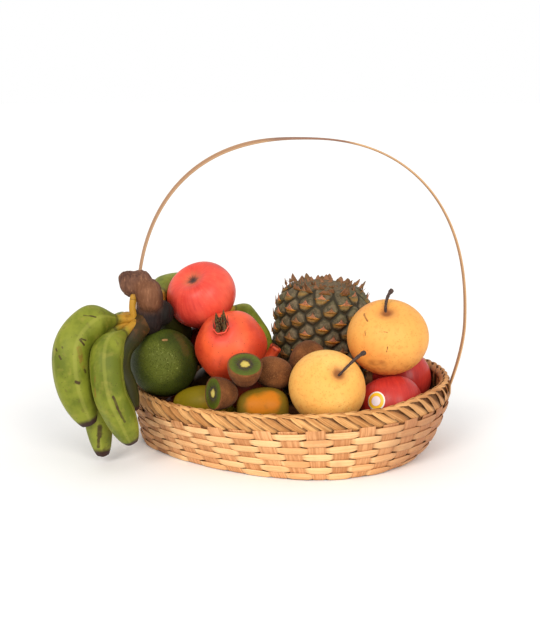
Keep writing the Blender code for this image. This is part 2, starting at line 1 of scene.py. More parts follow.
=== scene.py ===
"""The looks of the fruit basket: woven straw, plaited border, strip handle and the heap of fruit.

Metres, +Z up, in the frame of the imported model. Every piece repeats the form of the solid that it
stands for at a finer scale, and carries a finish of its own. A fruit is shaped about its stem along
+Z and then put in its place, and its mesh carries the angles that its finish is laid out by.
"""

import math
import random

import bpy
import numpy as np
from mathutils import Matrix, Vector


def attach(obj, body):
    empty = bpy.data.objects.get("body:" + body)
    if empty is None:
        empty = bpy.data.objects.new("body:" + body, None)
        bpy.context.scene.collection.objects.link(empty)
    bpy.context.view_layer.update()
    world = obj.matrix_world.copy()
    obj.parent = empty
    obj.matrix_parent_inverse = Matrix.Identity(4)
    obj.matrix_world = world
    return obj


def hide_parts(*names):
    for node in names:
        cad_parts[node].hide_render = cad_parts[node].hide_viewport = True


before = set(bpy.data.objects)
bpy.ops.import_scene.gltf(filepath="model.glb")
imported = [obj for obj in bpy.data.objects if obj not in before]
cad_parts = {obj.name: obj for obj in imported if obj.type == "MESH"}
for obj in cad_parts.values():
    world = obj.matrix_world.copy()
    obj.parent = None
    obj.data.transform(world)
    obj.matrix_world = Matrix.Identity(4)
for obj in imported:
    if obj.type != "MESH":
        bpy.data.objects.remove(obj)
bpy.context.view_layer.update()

BODY = "root"

# The camera, as the photograph was taken
PICTURE_WIDTH, PICTURE_HEIGHT = 540, 620
EYE = Vector((0.0, -1.34908, 0.44213))
AIM = Vector((-0.02267, 0.0, 0.15385))
LENS_MM, SENSOR_MM = 70.90, 36.0

# The basket's driving sizes
RIM_HALF_LENGTH, RIM_HALF_WIDTH, RIM_POWER, RIM_LEAN = 0.1800, 0.1440, 2.0, 0.15
BASE_HALF_LENGTH, BASE_HALF_WIDTH, BASE_POWER, BASE_LEAN = 0.1545, 0.1355, 1.78, 0.36
BASE_SHIFT = -0.0165
LEAN_BLEND = 0.030
BASKET_HEIGHT = 0.0715
RIM_TILT = 0.030
RIGHT_RISE, RIGHT_RISE_FROM, RIGHT_RISE_FULL = 0.0065, 0.080, 0.150
FLOOR_THICKNESS = 0.0045
GAP = 0.0003
UNDER_BORDER = 0.0020
BORDER_WIDTH, BORDER_HEIGHT = 0.0135, 0.018
BORDER_SQUARENESS = 0.55
WALL_GIRTH, RIM_GIRTH = 0.97, 0.98

# The weave: flat upright stakes, and rows of weft that pass over one and behind the next
STAKES = 38
FIRST_STAKE = 0.30
STAKE_WIDTH = 0.0190
WEFT_ROWS = 7
WEFT_THICKNESS = 0.0016
LONG_SPAN = 0.36
WEAVE_DEPTH = 0.0012
WEFT_STEPS, LINING_STEPS = 18 * STAKES, 8 * STAKES
WALL_SIDE_IN, WALL_SIDE_OUT = 0.0038, 0.0024
FLOOR_STRIP = 0.0095

# The border's strands
STRANDS = 70
STRAND_HALF_WIDTH = 0.0045
STRAND_RUN = 0.026
SIDE_UNDER_STRANDS, TOP_UNDER_STRANDS = 0.0027, 0.0007
STRAND_CROWN, STRAND_TILT, STRAND_TUCK = 0.0010, 0.20, 0.0022
CORD_HALF_WIDTH, CORD_HALF_HEIGHT = 0.0023, 0.0011

# The handle
HANDLE_WIDTH, HANDLE_THICKNESS = 0.0095, 0.0022
ARCH_CENTRE_X, ARCH_HALF_SPAN = 0.0122, 0.1850
ARCH_SPRING_Z, ARCH_RISE, ARCH_POWER = 0.140, 0.2065, 2.37
HANDLE_RIGHT_TWIST, HANDLE_LEFT_TWIST = math.radians(-6), math.radians(20)
HANDLE_FOOT_Z = 0.044
HANDLE_CLEARANCE = 0.0016
HANDLE_LENGTH = 0.72

# The pineapple
PINE_HEIGHT, PINE_RADIUS, PINE_WIDEST = 0.1615, 0.0585, 0.58
PINE_PLACE = Matrix.Translation((0.0297, 0.0653, 0.0085)) @ Matrix.Rotation(
    math.radians(4.4), 4, "Y"
)
GOLDEN_TURN = math.radians(137.508)
EYE_RISE, EYE_DEPTH, EYE_REACH = 0.000975, 0.0042, 0.0125
STUB_BRACTS = 90

# Each whole fruit: (centre, axis towards the stem, half width, half height)
WHOLE_FRUIT = {
    "apple_top": ((-0.1008, 0.0180, 0.1668), (-0.36, -0.49, 0.79), 0.0402, 0.0365),
    "apple_front": ((0.1113, -0.0566, 0.0591), (-0.15, 0.55, 0.82), 0.0355, 0.0350),
    "apple_right": ((0.1285, 0.0092, 0.0712), (-0.20, 0.60, 0.77), 0.0338, 0.0338),
    "apple_middle": ((0.0537, -0.0206, 0.0722), (0.20, 0.20, 0.96), 0.0305, 0.0305),
    "apple_back": ((-0.0905, 0.0520, 0.1005), (0.10, 0.30, 0.95), 0.0325, 0.0325),
    "pear_front": ((0.0404, -0.0889, 0.0888), (0.336, -0.682, 0.65), 0.0418, 0.0375),
    "pear_back": ((0.1073, -0.0400, 0.1330), (-0.08, -0.45, 0.89), 0.0450, 0.0400),
    "mango_orange": ((-0.0290, -0.0920, 0.0680), (1.00, 0.10, 0.00), 0.0225, 0.0285),
    "mango_green": ((-0.0981, -0.0600, 0.0615), (0.95, -0.25, 0.14), 0.0215, 0.0310),
    "kiwi_front": ((-0.0176, -0.0700, 0.0995), (0.90, 0.15, -0.25), 0.0178, 0.0212),
    "kiwi_back": ((0.0194, -0.0340, 0.1058), (0.55, 0.25, 0.75), 0.0190, 0.0215),
    "green_orange": ((-0.1408, -0.0262, 0.0982), (0.05, -0.54, 0.84), 0.0379, 0.0390),
}
POMEGRANATES = {
    "pomegranate_front": ((-0.0651, -0.0373, 0.1203), (-0.21, -0.72, 0.66), 0.0400, 0.0375),
    "pomegranate_back": ((-0.0423, 0.0003, 0.0646), (0.50, 0.05, 0.86), 0.0350, 0.0330),
}
KIWI_SEEDS = 46
# Each half: (centre of its cut face, axis out of that face, half width, length)
KIWI_HALVES = {
    "kiwi_half_upper": ((-0.0475, -0.0962, 0.1155), (0.06, -0.46, 0.885), 0.0188, 0.0265),
    "kiwi_half_lower": ((-0.0815, -0.1010, 0.0845), (-0.84, -0.52, 0.14), 0.0180, 0.0280),
}

# The fruit on the floor: (centre in plan, way its axis lies or None for upright, half width)
LOW_FRUIT = {
    "apple_low_left": ((-0.122, -0.013), None, 0.0272),
    "pear_low_back": ((-0.088, 0.066), None, 0.0345),
    "mango_low_left": ((-0.0765, 0.010), (0.5, 1.0), 0.0205),
    "mango_low_middle": ((-0.041, -0.045), (1.0, 0.2), 0.0240),
    "mango_low_front": ((0.040, -0.086), (1.0, 0.1), 0.0238),
    "mango_low_right": ((0.0892, -0.004), (0.3, 1.0), 0.0208),
    "mango_low_end": ((0.1035, 0.052), (-0.3, 1.0), 0.0190),
    "kiwi_low_green": ((-0.094, -0.068), (1.0, -0.5), 0.0175),
    "kiwi_low_orange": ((-0.029, -0.0925), (1.0, -0.05), 0.0196),
    "kiwi_low_centre": ((-0.002, 0.000), (0.2, 1.0), 0.0180),
    "kiwi_low_middle": ((0.0478, -0.019), (0.2, 1.0), 0.0198),
    "kiwi_low_corner": ((0.1100, -0.0810), (1.0, 0.7), 0.0157),
    "kiwi_low_end": ((0.1282, 0.010), (0.1, 1.0), 0.0170),
    "kiwi_low_back": ((-0.0410, 0.092), (0.3, 1.0), 0.0180),
}
# How high a lying fruit's middle is over its lowest point, and its half length, in half widths
LYING = {"apple": (0.935, 1.10), "pear": (0.960, 1.04), "mango": (0.900, 1.20), "kiwi": (1.0, 1.18)}
FRUIT_BANDS, FRUIT_COLUMNS, LOW_FINENESS = 56, 88, 0.6

# Each stalk's root, bend and end, from its pear's centre
PEAR_STALKS = {
    "pear_front": ((0.009, -0.020, 0.016), (0.030, -0.026, 0.042), (0.038, -0.012, 0.041)),
    "pear_back": ((-0.003, -0.012, 0.024), (-0.006, -0.010, 0.045), (0.004, -0.003, 0.053)),
}
STALK_RADIUS = 0.0021

# The calyx of a pomegranate, its rings as shares of its radius and height
CALYX_RADIUS, CALYX_HEIGHT, SEPALS, STAMENS = 0.0085, 0.016, 6, 34
CALYX_BAND = 0.30
# The reach of its sepals, and how tall and wide it is: open, or a bare tube
OPEN_CALYX, BARE_CALYX = (0.85, 1.0, 1.0), (0.25, 2.2, 0.74)
CALYX_RINGS = ((0.95, 0.25), (0.98, 0.45), (1.04, 0.60), (0.92, 0.62), (0.70, 0.40), (0.30, 0.34))

# Each banana: its full radius, its neck's share of that, and points from the crown to the tip
THIN_NECK = 0.27
BANANA_STATIONS, BANANA_COLUMNS = 120, 48
BANANAS = {
    "far_left": (0.0210, THIN_NECK, (
        (-0.170, -0.036, 0.150), (-0.190, -0.050, 0.153), (-0.215, -0.070, 0.152),
        (-0.2315, -0.090, 0.131), (-0.229, -0.099, 0.092), (-0.215, -0.094, 0.047),
    )),
    "front": (0.0180, THIN_NECK, (
        (-0.165, -0.036, 0.150), (-0.180, -0.062, 0.141), (-0.193, -0.098, 0.127),
        (-0.190, -0.111, 0.090), (-0.180, -0.108, 0.062), (-0.169, -0.100, 0.029),
    )),
    "under": (0.0160, THIN_NECK, (
        (-0.168, -0.034, 0.148), (-0.195, -0.058, 0.140), (-0.210, -0.072, 0.108),
        (-0.209, -0.080, 0.064), (-0.204, -0.078, 0.0065),
    )),
    "shaded": (0.0112, 1.15, (
        (-0.162, -0.030, 0.148), (-0.1740, -0.047, 0.134), (-0.1830, -0.057, 0.119),
        (-0.1845, -0.064, 0.101), (-0.1765, -0.069, 0.081), (-0.1690, -0.073, 0.056),
    )),
    "outer_back": (0.0165, THIN_NECK, (
        (-0.166, -0.022, 0.150), (-0.188, -0.003, 0.147), (-0.195, 0.022, 0.128),
        (-0.202, 0.042, 0.100), (-0.203, 0.050, 0.072), (-0.195, 0.052, 0.042),
    )),
    "inner_back": (0.0195, 0.72, (
        (-0.156, -0.018, 0.152), (-0.147, 0.014, 0.148), (-0.1345, 0.036, 0.124),
        (-0.133, 0.048, 0.092), (-0.124, 0.044, 0.050),
    )),
    "inner_top": (0.0175, 0.62, (
        (-0.155, -0.016, 0.163), (-0.152, 0.022, 0.163), (-0.145, 0.058, 0.166),
        (-0.124, 0.079, 0.165), (-0.101, 0.083, 0.155), (-0.082, 0.076, 0.136),
    )),
    "neck_stub": (0.0038, 1.0, (
        (-0.1715, -0.034, 0.1800), (-0.1732, -0.037, 0.1690), (-0.1732, -0.038, 0.1600),
        (-0.1710, -0.038, 0.1480),
    )),
    "loose_finger": (0.0165, THIN_NECK, (
        (-0.0740, 0.0380, 0.1425), (-0.0665, 0.0440, 0.1450), (-0.0570, 0.0480, 0.1370),
        (-0.0463, 0.0480, 0.1230), (-0.0364, 0.0450, 0.1070), (-0.0316, 0.0400, 0.0880),
    )),
}
# Fingers deep in the hand, darkened near black by painted shade.
SHADED_BANANAS = ("shaded", "inner_back")
CROWN_GRAIN, CROWN_SOFTNESS, CROWN_ROUNDS = 0.0010, 0.7, 26
# The lobes of the hand's dried crown: (centre, half sizes, lean in the view from the front)
CROWN_LOBES = (
    ((-0.177, -0.028, 0.189), (0.0115, 0.0130, 0.0146), -20),
    ((-0.1705, -0.028, 0.1905), (0.0125, 0.0125, 0.0120), -4),
    ((-0.165, -0.027, 0.190), (0.0123, 0.0140, 0.0131), 0),
    ((-0.1556, -0.030, 0.176), (0.0149, 0.0170, 0.0190), -8),
    ((-0.1610, -0.024, 0.1650), (0.0085, 0.0130, 0.0150), 0),
    ((-0.1570, -0.026, 0.1490), (0.0158, 0.0170, 0.0178), 0),
    ((-0.1450, -0.018, 0.1540), (0.0150, 0.0150, 0.0140), 0),
)

# Places in the photograph, in its own picture points
STICKER_AT, STICKER_RADIUS = (376, 401), 0.0103
RIPE_CHEEK = (256, 405), (272, 401)
# Where the green orange takes its painted highlight
PAINTED_HIGHLIGHT_PEEL = (152, 356), (164, 366)
# Marks in picture points: (first, last, width in metres)
PEEL_BLOTCH = ((178, 336), (186, 352), 0.007)
PEEL_SCAR = ((163.5, 340), (166.5, 340), 0.0022)
PEAR_SCUFF = ((371, 362), (383, 364), 0.0058)
PEAR_MARKS = (
    ((364, 314), (365.5, 318), 0.0013),
    ((365.5, 318), (368, 321), 0.0013),
    ((365, 331), (365.3, 335), 0.0008),
    ((387.5, 347), (386.5, 352), 0.0009),
    ((384, 332), (387, 332.5), 0.0007),
)
BANANA_MARKS = {
    "far_left": (
        ((81, 339), (86, 340), 0.0012),
        ((80.5, 340), (84, 345), 0.0018),
        ((76, 382), (79, 383), 0.0026),
        ((84.5, 370), (85.5, 372), 0.0020),
        ((56, 349), (57, 351), 0.0013),
        ((59, 356), (61, 359), 0.0015),
        ((62, 347), (62.5, 348), 0.0011),
        ((84, 315.5), (96, 317), 0.0011),
    ),
    "front": (((113.4, 397), (118, 409), 0.0021), ((118, 409), (125, 422), 0.0017)),
    "under": (((100, 427), (99.3, 436), 0.0038), ((99.3, 436), (98, 447), 0.0022)),
}
BANANA_STREAKS = {
    "far_left": (((79, 349), (83, 366), 0.0040),),
    "front": (((95, 376), (96, 400), 0.0016),),
}

GROUND_Z, GROUND_RADIUS, GROUND_DEPTH = -0.0005, 9.0, 0.02
SUN_COLOUR, SUN_SPREAD = (1.0, 0.96, 0.90), 0.45
SURROUND_STRENGTH, SEEN_STRENGTH = 0.80, 1.0


def paint(red, green, blue):
    """A colour given as it shows, 0 to 255, as the linear colour that a shader takes."""
    shares = [channel / 255 for channel in (red, green, blue)]
    linear = [s / 12.92 if s <= 0.04045 else ((s + 0.055) / 1.055) ** 2.4 for s in shares]
    return (*linear, 1.0)


class Wire:
    """A value, colour or place on its way through a finish. Sums on it add Math nodes."""

    def __init__(self, finish, socket):
        self.finish = finish
        self.socket = socket

    def maths(self, operation, *parts):
        sockets = dict(enumerate(parts))
        return self.finish.node("ShaderNodeMath", {"operation": operation}, sockets)

    def __add__(self, other):
        return self.maths("ADD", self, other)

    def __sub__(self, other):
        return self.maths("SUBTRACT", self, other)

    def __rsub__(self, other):
        return self.maths("SUBTRACT", other, self)

    def __mul__(self, other):
        return self.maths("MULTIPLY", self, other)

    def __truediv__(self, other):
        return self.maths("DIVIDE", self, other)

    __radd__, __rmul__ = __add__, __mul__

    def rise(self, low, high, ends=(0.0, 1.0)):
        """0 where the value is under low, 1 where it is over high, smooth between."""
        sockets = dict(enumerate((self, low, high, *ends)))
        smooth = {"interpolation_type": "SMOOTHSTEP"}
        return self.finish.node("ShaderNodeMapRange", smooth, sockets)

    def fall(self, low, high):
        return self.rise(low, high, (1.0, 0.0))


class Finish:
    """A material in the making: a Principled shader and the colours laid over one another."""

    def __init__(self, name, gloss=0.5, **constants):
        self.material = bpy.data.materials.new(name)
        self.material.use_nodes = True
        self.tree = self.material.node_tree
        self.shader = self.tree.nodes["Principled BSDF"]
        for socket, value in {"Specular_IOR_Level": gloss, **constants}.items():
            self.shader.inputs[socket.replace("_", " ")].default_value = value
        self.place = self.node("ShaderNodeTexCoord", out="Object")
        self.colour = None

    def node(self, kind, settings=None, sockets=None, out=0):
        made = self.tree.nodes.new(kind)
        for key, value in (settings or {}).items():
            if key == "stops":
                lay_stops(made.color_ramp, value)
            else:
                setattr(made, key, value)
        for key, value in (sockets or {}).items():
            if isinstance(value, Wire):
                self.tree.links.new(value.socket, made.inputs[key])
            else:
                made.inputs[key].default_value = value
        return Wire(self, made.outputs[out])

    def value(self, name):
        """A value that the mesh carries at each point."""
        return self.node("ShaderNodeAttribute", {"attribute_name": name}, out="Fac")

    def metres(self, axis):
        """How far along X, Y or Z (0, 1 or 2)."""
        return self.node("ShaderNodeSeparateXYZ", sockets={0: self.place}, out=axis)

    def joined(self, *parts):
        return self.node("ShaderNodeCombineXYZ", sockets=dict(enumerate(parts)))

    def vector(self, operation, *parts, out=0):
        sockets = dict(enumerate(parts))
        return self.node("ShaderNodeVectorMath", {"operation": operation}, sockets, out)

    def upright(self, share):
        """The place with its height shrunk to this share, which draws grain out upwards."""
        return self.vector("MULTIPLY", self.place, (1.0, 1.0, share))

    def grain(self, scale, detail=3.0, place=None):
        """Cloudy noise from 0 to 1, scale lumps to the metre."""
        sockets = {"Scale": scale, "Detail": detail, "Roughness": 0.55}
        return self.node("ShaderNodeTexNoise", None, {"Vector": place or self.place, **sockets})

    def pits(self, scale):
        """The distance to the middle of the nearest of scale cells to the metre."""
        return self.node("ShaderNodeTexVoronoi", None, {"Vector": self.place, "Scale": scale})

    def uneven(self, scale, reach):
        """The place shifted by up to reach metres, for marks with natural edges."""
        sockets = {"Vector": self.place, "Scale": scale, "Detail": 3.0}
        cloud = self.node("ShaderNodeTexNoise", None, sockets, "Color")
        shift = self.vector("MULTIPLY_ADD", cloud, (2 * reach,) * 3, (-reach,) * 3)
        return self.vector("ADD", self.place, shift)

    def stroke(self, start, end, width, place=None):
        """1 on the line from start to end, 0 further off than its width."""
        way = Vector(end) - Vector(start)
        from_start = self.vector("SUBTRACT", place or self.place, tuple(start))
        share = self.vector("DOT_PRODUCT", from_start, tuple(way), out="Value")
        share = share / way.length_squared
        share = share.maths("MINIMUM", share.maths("MAXIMUM", share, 0.0), 1.0)
        scaled = {0: tuple(way), "Scale": share}
        nearest = self.node("ShaderNodeVectorMath", {"operation": "SCALE"}, scaled)
        off = self.vector("SUBTRACT", from_start, nearest)
        return self.vector("LENGTH", off, out="Value").fall(0.45 * width, width)

    def ground(self, share, under, over):
        """The first colour, and a second one over it by this share."""
        self.colour = paint(*under)
        self.lay(share, over)

    def bands(self, value, *stops):
        """The first colour, from stops of (value, colour)."""
        stops = [(position, paint(*colour)) for position, colour in stops]
        self.colour = self.node("ShaderNodeValToRGB", {"stops": stops}, {0: value})

    def lay(self, share, colour):
        """A colour laid over what is there, by this share."""
        sockets = {0: share, 6: self.colour, 7: paint(*colour)}
        self.colour = self.node("ShaderNodeMix", {"data_type": "RGBA"}, sockets, 2)

    def coat(self, roughness=None, height=None, relief=0.0004):
        """The finished material. The full range of its height is relief metres."""
        feeds = {"Base Color": self.colour, "Roughness": roughness}
        if height is not None:
            sockets = {"Height": height, "Distance": relief}
            feeds["Normal"] = self.node("ShaderNodeBump", None, sockets)
        for socket, wire in feeds.items():
            if wire is not None:
                self.tree.links.new(wire.socket, self.shader.inputs[socket])
        return self.material


def lay_stops(ramp, stops):
    while len(ramp.elements) > 1:
        ramp.elements.remove(ramp.elements[-1])
    ramp.elements[0].position, ramp.elements[0].color = stops[0]
    for position, colour in stops[1:]:
        ramp.elements.new(position).color = colour


class Shape:
    """A mesh in the making: skins over grids of points, each point with values for the finish."""

    def __init__(self):
        self.points, self.faces, self.values, self.count = [], [], {}, 0

    def add_points(self, points, values):
        for name, given in values.items():
            self.values.setdefault(name, [np.zeros(self.count)]).append(given)
        self.points.append(points)
        self.count += len(points)

    def skin(self, grid, loop=False, **values):
        """A skin over rows of points, each row a closed ring.

        loop joins the last row to the first, or else each end closes on its row's middle point.
        """
        rows, columns = grid.shape[:2]
        points = grid.reshape(-1, 3)
        given = {
            name: np.broadcast_to(value, (rows, columns)).astype(float).reshape(-1)
            for name, value in values.items()
        }
        index = np.arange(rows * columns).reshape(rows, columns)
        lower, upper = (index, np.roll(index, -1, 0)) if loop else (index[:-1], index[1:])
        quads = np.stack([lower, np.roll(lower, -1, 1), np.roll(upper, -1, 1), upper], -1)
        quads = quads.reshape(-1, 4)
        fans = np.zeros((0, 3), int)
        if not loop:
            points = np.concatenate([points, grid[[0, -1]].mean(1)])
            for name, value in given.items():
                ends = value.reshape(rows, columns)[[0, -1]].mean(1)
                given[name] = np.concatenate([value, ends])
            pole = np.full(columns, rows * columns)
            first = np.stack([np.roll(index[0], -1), index[0], pole], -1)
            last = np.stack([index[-1], np.roll(index[-1], -1), pole + 1], -1)
            fans = np.concatenate([first, last])
        corners = np.concatenate([quads[:, [0, 1, 2]], quads[:, [0, 2, 3]], fans])
        a, b, c = (points[corners[:, k]] for k in range(3))
        if np.einsum("ij,ij->i", a, np.cross(b, c)).sum() < 0:
            quads, fans = quads[:, ::-1], fans[:, ::-1]
        self.faces += (quads + self.count).tolist() + (fans + self.count).tolist()
        self.add_points(points, given)

    def make(self, name, slot, *nodes, finish=None, placing=None):
        """The finished piece. It rides on the body and stands for these nodes of the model."""
        mesh = bpy.data.meshes.new(name)
        points = np.concatenate(self.points)
        if placing is not None:
            turned = np.array(placing)
            points = points @ turned[:3, :3].T + turned[:3, 3]
        mesh.from_pydata(points, [], self.faces)
        for key, given in self.values.items():
            carried = mesh.attributes.new(key, "FLOAT", "POINT")
            carried.data.foreach_set("value", np.concatenate(given).astype(np.float32))
        mesh.shade_smooth()
        if finish is not None:
            mesh.materials.append(finish)
        piece = in_scene(name, mesh)
        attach(piece, BODY)
        if nodes:
            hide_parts(*nodes)
        return piece


def in_scene(name, data):
    made = bpy.data.objects.new(name, data)
    bpy.context.scene.collection.objects.link(made)
    return made


def facing(centre, axis, spin=0.0):
    """Turns +Z to the axis after a spin about it, and moves the origin to the centre."""
    turn = Vector((0, 0, 1)).rotation_difference(Vector(axis).normalized()).to_matrix().to_4x4()
    return Matrix.Translation(Vector(centre)) @ turn @ Matrix.Rotation(spin, 4, "Z")


def sight(pixel):
    """The way from the eye through a picture point."""
    ahead = (AIM - EYE).normalized()
    right = ahead.cross(Vector((0, 0, 1))).normalized()
    up = right.cross(ahead)
    reach = LENS_MM / SENSOR_MM * PICTURE_HEIGHT
    across = (pixel[0] - PICTURE_WIDTH / 2) / reach
    down = (pixel[1] - PICTURE_HEIGHT / 2) / reach
    return (ahead + right * across - up * down).normalized()


def seen_on(piece, pixel):
    """Where the eye sees this picture point on the piece, and the way its skin faces there."""
    bpy.context.view_layer.update()
    hit, point, normal, _ = piece.ray_cast(EYE, sight(pixel))
    if not hit:
        raise ValueError(f"{piece.name} isn't seen at {pixel}")
    return point, normal


def both_on(piece, first, last):
    return seen_on(piece, first)[0], seen_on(piece, last)[0]


def strokes(finish, piece, marks):
    """One mask of several ragged marks, each (first picture point, last, width in metres)."""
    ragged = finish.uneven(150.0, 0.0011)
    found = None
    for first, last, width in marks:
        mask = finish.stroke(*both_on(piece, first, last), width, ragged)
        found = found.maths("MAXIMUM", found, mask) if found else mask
    return found * (finish.grain(110.0, 2.0).rise(0.30, 0.60) * 0.4 + 0.6)


def ease(x):
    x = np.clip(x, 0.0, 1.0)
    return x * x * (3 - 2 * x)


def lerp(a, b, share):
    return a + (b - a) * share


def power_of(wave, power):
    """A wave's value raised to a power with its sign kept, which squares a circle off."""
    return np.sign(wave) * np.abs(wave) ** power


def ring(count, start=0.0):
    """This many angles round a circle."""
    return math.tau * (np.arange(count) + start) / count


def unit(ways):
    return ways / np.linalg.norm(ways, axis=-1, keepdims=True)


def swept(line, across, out, side, lift):
    """Rings round a line, from metres to the side and outwards at each point of each ring."""
    ways = (line, across, out)
    line, across, out = (np.asarray(given, float).reshape(-1, 1, 3) for given in ways)
    return line + across * np.asarray(side)[..., None] + out * np.asarray(lift)[..., None]


def waves(points, name, length, count=7):
    """A gentle unevenness from -1 to 1 over the points, the same each time for one name."""
    draw = random.Random(name)
    total = np.zeros(points.shape[:-1])
    for _ in range(count):
        way = Vector([draw.gauss(0, 1) for _ in range(3)]).normalized()
        size = math.tau / (length * draw.uniform(0.7, 1.5))
        total += np.sin(points @ np.array(way) * size + draw.uniform(0, math.tau))
    return total / math.sqrt(count) / 1.6


def oval(angle, share=1.0, inset=0.0):
    """The basket's hand-made oval at this share of the wall's height, drawn in by inset."""
    swell = share ** (0.72 - 0.27 * np.cos(angle))
    power = 2 / lerp(BASE_POWER, RIM_POWER, swell)
    length = lerp(BASE_HALF_LENGTH, RIM_HALF_LENGTH, swell) - inset
    width = lerp(BASE_HALF_WIDTH, RIM_HALF_WIDTH, swell) - inset
    x = length * power_of(np.cos(angle), power)
    y = width * power_of(np.sin(angle), power)
    lean = lerp(BASE_LEAN, RIM_LEAN, swell) * (np.hypot(y, LEAN_BLEND) - LEAN_BLEND - y) / 2
    return x + lean + BASE_SHIFT * (1 - swell), y


def angle_at(round_share, level=0.6):
    """The angle at this share of the way round the oval, from the right end over the back."""
    angles = np.linspace(0, math.tau, 721)
    x, y = oval(angles, level)
    lengths = np.concatenate([[0], np.cumsum(np.hypot(np.diff(x), np.diff(y)))])
    turns = np.floor(round_share)
    return np.interp(round_share - turns, lengths / lengths[-1], angles) + math.tau * turns


def rim_lift(angle):
    return RIM_TILT * RIM_HALF_LENGTH * np.cos(angle)


def right_rise(angle):
    along = RIM_HALF_LENGTH * np.cos(angle)
    return RIGHT_RISE * ease((along - RIGHT_RISE_FROM) / (RIGHT_RISE_FULL - RIGHT_RISE_FROM))


def wall_points(angle, share, proud):
    """Points on the wall, standing proud of its face by so much."""
    x, y = oval(angle, share, UNDER_BORDER - proud)
    top = BASKET_HEIGHT - BORDER_HEIGHT - GAP + rim_lift(angle)
    return np.stack(np.broadcast_arrays(x, y, share * top), -1)


def split_straw(name, light, dark, grime_and_shade, splints=900, ends=0.75):
    """Split straw: fine fibres along the strip, each strip with a tone of its own.

    The mesh carries run, the metres along the strip, side, those across it, tone from 0 to 1 for
    the whole strip, and hollow, 1 where the strip dives under another and takes painted shade.
    splints is how many fibres lie in a metre across the strip, and ends how far painted shade
    darkens the basket's two ends.
    """
    straw = Finish(name, 0.2)
    along = straw.joined(straw.value("run") * 24, straw.value("side") * splints)
    fibre, patch = straw.grain(1.0, 2.0, along), straw.grain(75.0)
    pale = straw.value("tone") * 0.45 + fibre.rise(0.30, 0.70) * 0.45 + patch * 0.45
    straw.ground(pale.rise(0.30, 1.05), dark, light)
    # The dark colour, laid here as grime in patches, also serves below as painted shade.
    straw.lay(straw.grain(38.0, 4.0).rise(0.55, 0.75) * 0.28, grime_and_shade)
    across = straw.metres(0) + patch * 0.05
    # Painted shade: the straw darkens towards the basket's left end and takes a darker brown towards
    # its right end.
    straw.lay(across.fall(-0.160, -0.075) * ends, grime_and_shade)
    straw.lay(across.rise(0.085, 0.180) * ends, (158, 104, 74))
    # Painted shade where the strip dives under another.
    straw.lay(straw.value("hollow") * 0.75, grime_and_shade)
    return straw.coat(fibre * 0.2 + 0.5, fibre * 0.7 + straw.grain(3.0, 1.0, along) * 0.3)


def build_weft(finish):
    """The rows of weft, each one ring that passes over a stake and behind the next."""
    shape, draw = Shape(), random.Random("weft")
    steps = np.arange(WEFT_STEPS)
    at, turn = steps / WEFT_STEPS, ring(10)
    angle = angle_at(at)[:, None]
    for row in range(WEFT_ROWS):
        phase = at * STAKES - FIRST_STAKE + row % 2
        over = (np.cos(math.pi * phase) + LONG_SPAN)[:, None]
        round_once = math.tau * at
        wander = 0.05 * np.sin(3 * round_once + row) + 0.04 * np.sin(11 * round_once + 2 * row)
        middle = ((row + 0.5 + wander) / WEFT_ROWS)[:, None]
        half = (0.40 + 0.12 * ease(over * 1.1)) / WEFT_ROWS
        strip = np.floor(phase / 2 + 0.25).astype(int) % (STAKES // 2)
        tones = np.array([draw.uniform(0, 1) for _ in range(STAKES // 2)])[strip]
        share = np.clip(middle + half * power_of(np.sin(turn), 0.8), 0.004, 0.996)
        proud = WEAVE_DEPTH * np.tanh(2.4 * over) + WEFT_THICKNESS / 2 * (np.cos(turn) - 1)
        shape.skin(
            wall_points(angle, share, proud + 0.0004),
            loop=True,
            run=steps[:, None] * 0.001 + row * 7.0,
            side=(share - middle) * BASKET_HEIGHT,
            tone=tones[:, None],
            # hollow is painted shade where the weft passes behind a stake.
            hollow=ease((0.22 - over) / 0.55),
        )
    return shape.make("basket_weft", "straw", "basket", finish=finish)


def build_stakes(finish):
    """The upright stakes: flat strips that sink behind the weft and come forward between it."""
    shape, draw, turn = Shape(), random.Random("stakes"), ring(12)
    share = np.linspace(0.006, 1.05, WEFT_ROWS * 6 + 1)[:, None]
    for stake in range(STAKES):
        over = -np.cos(math.pi * (stake + np.floor(share * WEFT_ROWS)))
        sway = 0.35 * WEAVE_DEPTH * np.sin(math.pi * (share * WEFT_ROWS % 1.0)) * over
        side = STAKE_WIDTH / 2 / WALL_GIRTH * draw.uniform(0.93, 1.05) * np.cos(turn)[None, :]
        angle = angle_at((stake + FIRST_STAKE) / STAKES + side + 0 * share)
        proud = sway + 0.0006 * (power_of(np.sin(turn), 0.7) - 1) - 0.0001
        run = share * BASKET_HEIGHT + stake * 3.1
        grid = wall_points(angle, share, proud)
        shape.skin(grid, run=run, side=side, tone=draw.uniform(0.0, 0.7), hollow=0.0)
    return shape.make("basket_stakes", "straw", "basket", finish=finish)


def build_lining(finish):
    """The wall's inner side, woven like the outer one, behind the stakes, with painted shade over it.
    """
    shape = Shape()
    at = (np.arange(LINING_STEPS) / LINING_STEPS)[:, None]
    share = np.linspace(0.004, 1.03, WEFT_ROWS * 5)[None, :]
    over = np.cos(math.pi * (at * STAKES - FIRST_STAKE + np.floor(share * WEFT_ROWS) % 2))
    relief = over * np.sin(math.pi * (share * WEFT_ROWS % 1.0))
    inner = wall_points(angle_at(at), share, -WALL_SIDE_IN - 0.0006 * relief)
    outer = wall_points(angle_at(at), share, -WALL_SIDE_OUT + 0 * over)
    grid = np.concatenate([outer, inner[:, ::-1]], axis=1)
    span = np.concatenate([share, share[:, ::-1]], axis=1)
    # Painted shade: full on the side behind the stakes, and strong over the inner face, less on its
    # raised rows.
    behind = np.concatenate([0 * over + 1, (0.75 - 0.45 * relief)[:, ::-1]], axis=1)
    run = at * 0.95 + np.floor(span * WEFT_ROWS) * 3.0
    shape.skin(grid, loop=True, run=run, side=span * BASKET_HEIGHT, tone=0.35, hollow=behind)
    return shape.make("basket_lining", "straw", "basket", finish=finish)


